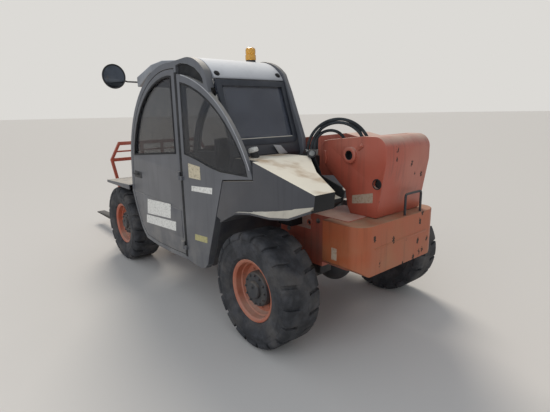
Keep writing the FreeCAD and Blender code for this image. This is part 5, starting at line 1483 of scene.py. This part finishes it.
@dataclass
class Fittings:
    """Beacon, mirror, lamps, filler cap and hoses."""
    mirror_turn: float = 4.0
    mirror_radius: float = 0.1312
    mirror_depth: float = 0.042
    mirror_x: float = 2.572
    mirror_y: float = 0.766
    mirror_z: float = 2.05
    mirror_foot: Place = (1.863, 0.74, 1.942)
    mirror_elbow: Place = (2.668, 0.59, 2.005)
    hose_radius: float = 0.011
    hose_foot_z: float = 1.321
    # foot x and y, rise, end x and y, all from the rear axle
    hose_runs: tuple = ((-0.015, 0.262, 1.388, -0.17, 0.088),
                        (0.005, 0.276, 1.36, -0.36, 0.098),
                        (0.03, 0.29, 1.354, -0.385, 0.078),
                        (-0.012, 0.236, 1.418, -0.296, 0.06))
    filler_foot: Place = (0.172, 0.668, 1.322)
    filler_lean: Place = (0.16, 0.2, 1)
    port_at: Place = (-0.1, 0.374, 1.35)
    port_way: Place = (-0.72, 0.62, 0.3)

    def beacon(self) -> None:
        """Amber beacon on a black foot."""
        low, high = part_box("beacon")
        x, y = (low.x + high.x) / 2, (low.y + high.y) / 2
        foot = turned("beacon_foot", [(0.0, 0.0), (0.046, 0.0), (0.046, 0.008), (0.041, 0.014),
                                      (0.041, 0.024), (0.0, 0.024)], (x, y, low.z), (0, 0, 1), 48)
        dress(foot, Stock.PLASTIC, "console_plastic", "beacon")
        top = high.z - low.z
        lens = turned("beacon_lens", [(0.0, 0.022), (0.043, 0.022), (0.0455, 0.03),
                                      (0.0455, top * 0.48), (0.042, top * 0.53),
                                      (0.038, top * 0.56), (0.0425, top * 0.6),
                                      (0.0435, top * 0.8), (0.04, top * 0.92),
                                      (0.03, top - 0.003), (0.016, top), (0.0, top)],
                      (x, y, low.z), (0, 0, 1), 56)
        dress(lens, Stock.AMBER, "beacon_amber")

    def mirror(self) -> None:
        """Round driving mirror, its shell to the rear and glass to the driver."""
        t = math.radians(self.mirror_turn)
        axis = Vector((math.cos(t), math.sin(t), 0))
        back = placed((self.mirror_x, self.mirror_y, self.mirror_z))
        r, d = self.mirror_radius, self.mirror_depth
        shell = turned("mirror_shell", [(0.0, d), (r * 0.5, d - 0.002), (r * 0.82, d - 0.012),
                                        (r, d - 0.03), (r, 0.004), (r - 0.006, 0.0),
                                        (r - 0.012, 0.004), (r - 0.014, 0.01), (0.0, 0.01)],
                       (0, 0, 0), (1, 0, 0), 64)
        glass = turned("mirror_glass", [(0.0, 0.0095), (r - 0.015, 0.0095), (r - 0.016, 0.006),
                                        (r * 0.5, 0.002), (0.0, 0.001)], (0, 0, 0), (1, 0, 0), 64)
        place = Matrix.Translation(back) @ Matrix.Rotation(t, 4, "Z")
        for piece in (shell, glass):
            piece.data.transform(place)
        head = back + axis * (d - 0.004)
        foot, elbow = placed(self.mirror_foot), placed(self.mirror_elbow)
        arm = tube("mirror_arm", [foot, foot.lerp(elbow, 0.5), foot.lerp(elbow, 0.96), elbow,
                                  elbow.lerp(head, 0.2), head], 0.0088)
        bracket = block("mirror_bracket", (along(1.8605), 0.705, 1.915),
                        (along(1.8685), 0.775, 1.97), 0.002)
        dress(joined("mirror_head", [shell, arm, bracket]), Stock.PLASTIC, "mirror_shell",
              "mirror")
        dress(glass, Stock.MIRROR, "mirror_shell")

    def lamps(self) -> None:
        """Work lamps on the frame's nose."""
        node_low, node_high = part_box("lamps")
        shells, faces = [], []
        for k, y in enumerate((node_high.y - 0.09, node_low.y)):
            shells.append(block("lamp_shell_%d" % k, (node_low.x, y, node_low.z),
                                (node_high.x - 0.006, y + 0.09, node_high.z), 0.01, 3))
            faces.append(rod("lamp_face_%d" % k, (node_high.x - 0.012, y + 0.045, node_low.z + 0.045),
                             (node_high.x, y + 0.045, node_low.z + 0.045), 0.036, 40, 0.004))
        dress(joined("lamp_shells", shells), Stock.PLASTIC, "lamp_plastic", "lamps")
        dress(joined("lamp_lenses", faces), Stock.CLEAR, "lamp_plastic")

    def hoses(self) -> None:
        """Looped pressure hoses from the bulkhead over to the boom, with crimped ends."""
        made, ends = [], []
        for index, (x0, y0, rise, x1, y1) in enumerate(self.hose_runs):
            foot, end = placed((x0, y0, self.hose_foot_z)), placed((x1, y1, rise - 0.005))
            up, down = Vector((foot.x, foot.y, rise)), Vector((end.x, end.y, rise))
            half = (down - up) / 2
            bow = [up + half * (1 - math.cos(t)) + Vector((0, 0, half.length * math.sin(t)))
                   for t in [math.pi * k / 12 for k in range(13)]]
            made.append(tube("hose_%d" % index, [foot, *bow, end], self.hose_radius, sides=5))
            ends.append(rod("hose_end_%d" % index, foot, foot + Vector((0, 0, 0.045)), 0.0145, 20))
            ends.append(rod("hose_tail_%d" % index, end + Vector((0, 0, 0.03)),
                            end - Vector((0, 0, 0.012)), 0.0145, 20))
        dress(joined("pressure_hoses", made), Stock.HOSE, "hose_rubber", "hoses")
        dress(joined("hose_crimps", ends), Stock.ZINC, "hose_rubber")
        blocks = [block("port_low", (along(-0.42), 0.055, 1.29), (along(-0.344), 0.126, 1.34)),
                  block("port_high", (along(-0.326), 0.04, 1.4035), (along(-0.266), 0.126, 1.4095)),
                  block("port_front", (along(-0.192), 0.06, 1.33), (along(-0.148), 0.126, 1.374))]
        dress(joined("hose_ports", blocks), Stock.BLACK, "hose_rubber")

    def caps(self) -> None:
        """Filler with a white cap, round port beside the hoses and a rubbed bracket."""
        foot, lean = placed(self.filler_foot), Vector(self.filler_lean).normalized()
        neck = rod("filler_neck", foot, foot + lean * 0.056, 0.03, 32, 0.003)
        dress(neck, Stock.PLASTIC, "console_plastic")
        cap = turned("filler_cap", [(0.0, 0.0), (0.033, 0.0), (0.036, 0.004), (0.0355, 0.024),
                                    (0.031, 0.031), (0.012, 0.034), (0.0, 0.034)],
                     (0, 0, 0), (0, 0, 1), 48)
        cap.data.transform(Matrix.Translation(foot + lean * 0.046)
                           @ lean.to_track_quat("Z", "Y").to_matrix().to_4x4())
        dress(cap, Stock.WHITE, "console_plastic")
        strap = plate("rubbed_strap", [(0.29, 1.327), (0.375, 1.325), (0.431, 1.398),
                                       (0.359, 1.39)], Plane.FRONT, along(0.25), 0.008, 0.002)
        dress(strap, Stock.RUBBED_AND_HIGHLIGHT, "grey_paint")
        port, way = placed(self.port_at), Vector(self.port_way).normalized()
        body = rod("round_port", port - way * 0.04, port + way * 0.01, 0.03, 40, 0.003)
        ring = rod("round_port_face", port + way * 0.006, port + way * 0.016, 0.02, 32, 0.003)
        dress(body, Stock.BLACK, "hose_rubber")
        dress(ring, Stock.ZINC, "hose_rubber")

    def build(self) -> None:
        """Build every fitting."""
        self.beacon()
        self.mirror()
        self.lamps()
        self.hoses()
        self.caps()


@dataclass
class Studio:
    """Pale floor, broad key, weak fill, even surround and the camera at the photo's place."""
    eye: Place = (-2.144107, 2.426405, 1.644575)
    right: Place = (-0.643298, -0.765479, -0.016227)
    down: Place = (-0.1633, 0.1578, -0.9739)
    lens: float = 26.594
    key_way: Place = (0.678, -0.392, 0.75)
    key_power: float = 2.0
    key_spread: float = 24.0
    fill_at: Place = (-3.2, 7.5, 4.2)
    fill_size: float = 6.0
    fill_power: float = 150.0
    surround: float = 0.62

    def camera(self) -> None:
        """Camera solved from the photo, measured from the rear axle."""
        data = bpy.data.cameras.new("viewpoint")
        data.sensor_width = 36.0
        data.lens = self.lens
        data.clip_end = 200
        piece = linked("viewpoint", data)
        across = Vector(self.right).normalized()
        above = (-Vector(self.down)).normalized()
        back = across.cross(above).normalized()
        above = back.cross(across)
        piece.matrix_world = Matrix.Translation((along(self.eye[0]), *self.eye[1:])) @ Matrix(
            (across, above, back)).transposed().to_4x4()
        bpy.context.scene.camera = piece

    def lit(self, name: str, kind: str, colour: str, turn: Vector) -> Piece:
        """Light of a kind that shines against a direction. Returns: the light's object."""
        data = bpy.data.lights.new(name, kind)
        data.color = linear(colour)[:3]
        piece = linked(name, data)
        piece.rotation_euler = turn.to_track_quat("Z", "Y").to_euler()
        return piece

    def lights(self) -> None:
        """Broad soft key, as even over the floor as over the machine, and a weak fill."""
        key = self.lit("key", "SUN", "#fff6ea", Vector(self.key_way))
        key.data.energy, key.data.angle = self.key_power, math.radians(self.key_spread)
        at = Vector(self.fill_at)
        fill = self.lit("fill", "AREA", "#eaf0fa", at - Vector((0, 0, 0.9)))
        fill.location = at
        fill.data.size, fill.data.energy = self.fill_size, self.fill_power

    def floor(self) -> None:
        """Pale floor far past the view."""
        bpy.ops.object.select_all(action="DESELECT")
        bpy.ops.mesh.primitive_plane_add(size=400)
        piece = settled(bpy.context.active_object, "studio_floor")
        made = bpy.data.materials.new("pale_matt_floor")
        made.use_nodes = True
        shader = made.node_tree.nodes["Principled BSDF"]
        shader.inputs["Base Color"].default_value = linear("#cfccc7")
        shader.inputs["Roughness"].default_value = 0.95
        piece.data.materials.append(made)

    def world(self) -> None:
        """Even surround: soft light for the machine, a pale wall for the camera."""
        world = bpy.data.worlds.new("pale_surround")
        bpy.context.scene.world = world
        world.use_nodes = True
        graph = Graph(world.node_tree)
        light = graph.tree.nodes["Background"]
        light.inputs["Color"].default_value = linear("#e2e7ee")
        light.inputs["Strength"].default_value = self.surround
        wall = graph.add("Background", None, {0: linear("#dcdad6"), 1: 1.0})
        seen = graph.add("LightPath").outputs["Is Camera Ray"]
        both = graph.add("MixShader", {0: seen, 1: light.outputs[0], 2: wall.outputs[0]})
        graph.put(graph.tree.nodes["World Output"].inputs["Surface"], both.outputs[0])

    def build(self) -> None:
        """Set up the whole studio."""
        self.camera()
        self.floor()
        self.world()
        self.lights()
        bpy.context.scene.view_settings.view_transform = "Standard"


def main() -> None:
    """Build every sub-assembly in order."""
    logging.basicConfig(level=logging.INFO, format="%(message)s")
    for part in (Studio(), Wheels(), Chassis(), Tower(), Boom(), Attachment(), Cab(), Interior(),
                 Covers(), Fittings()):
        LOG.info("building %s", type(part).__name__)
        part.build()


if __name__ == "__main__":
    main()
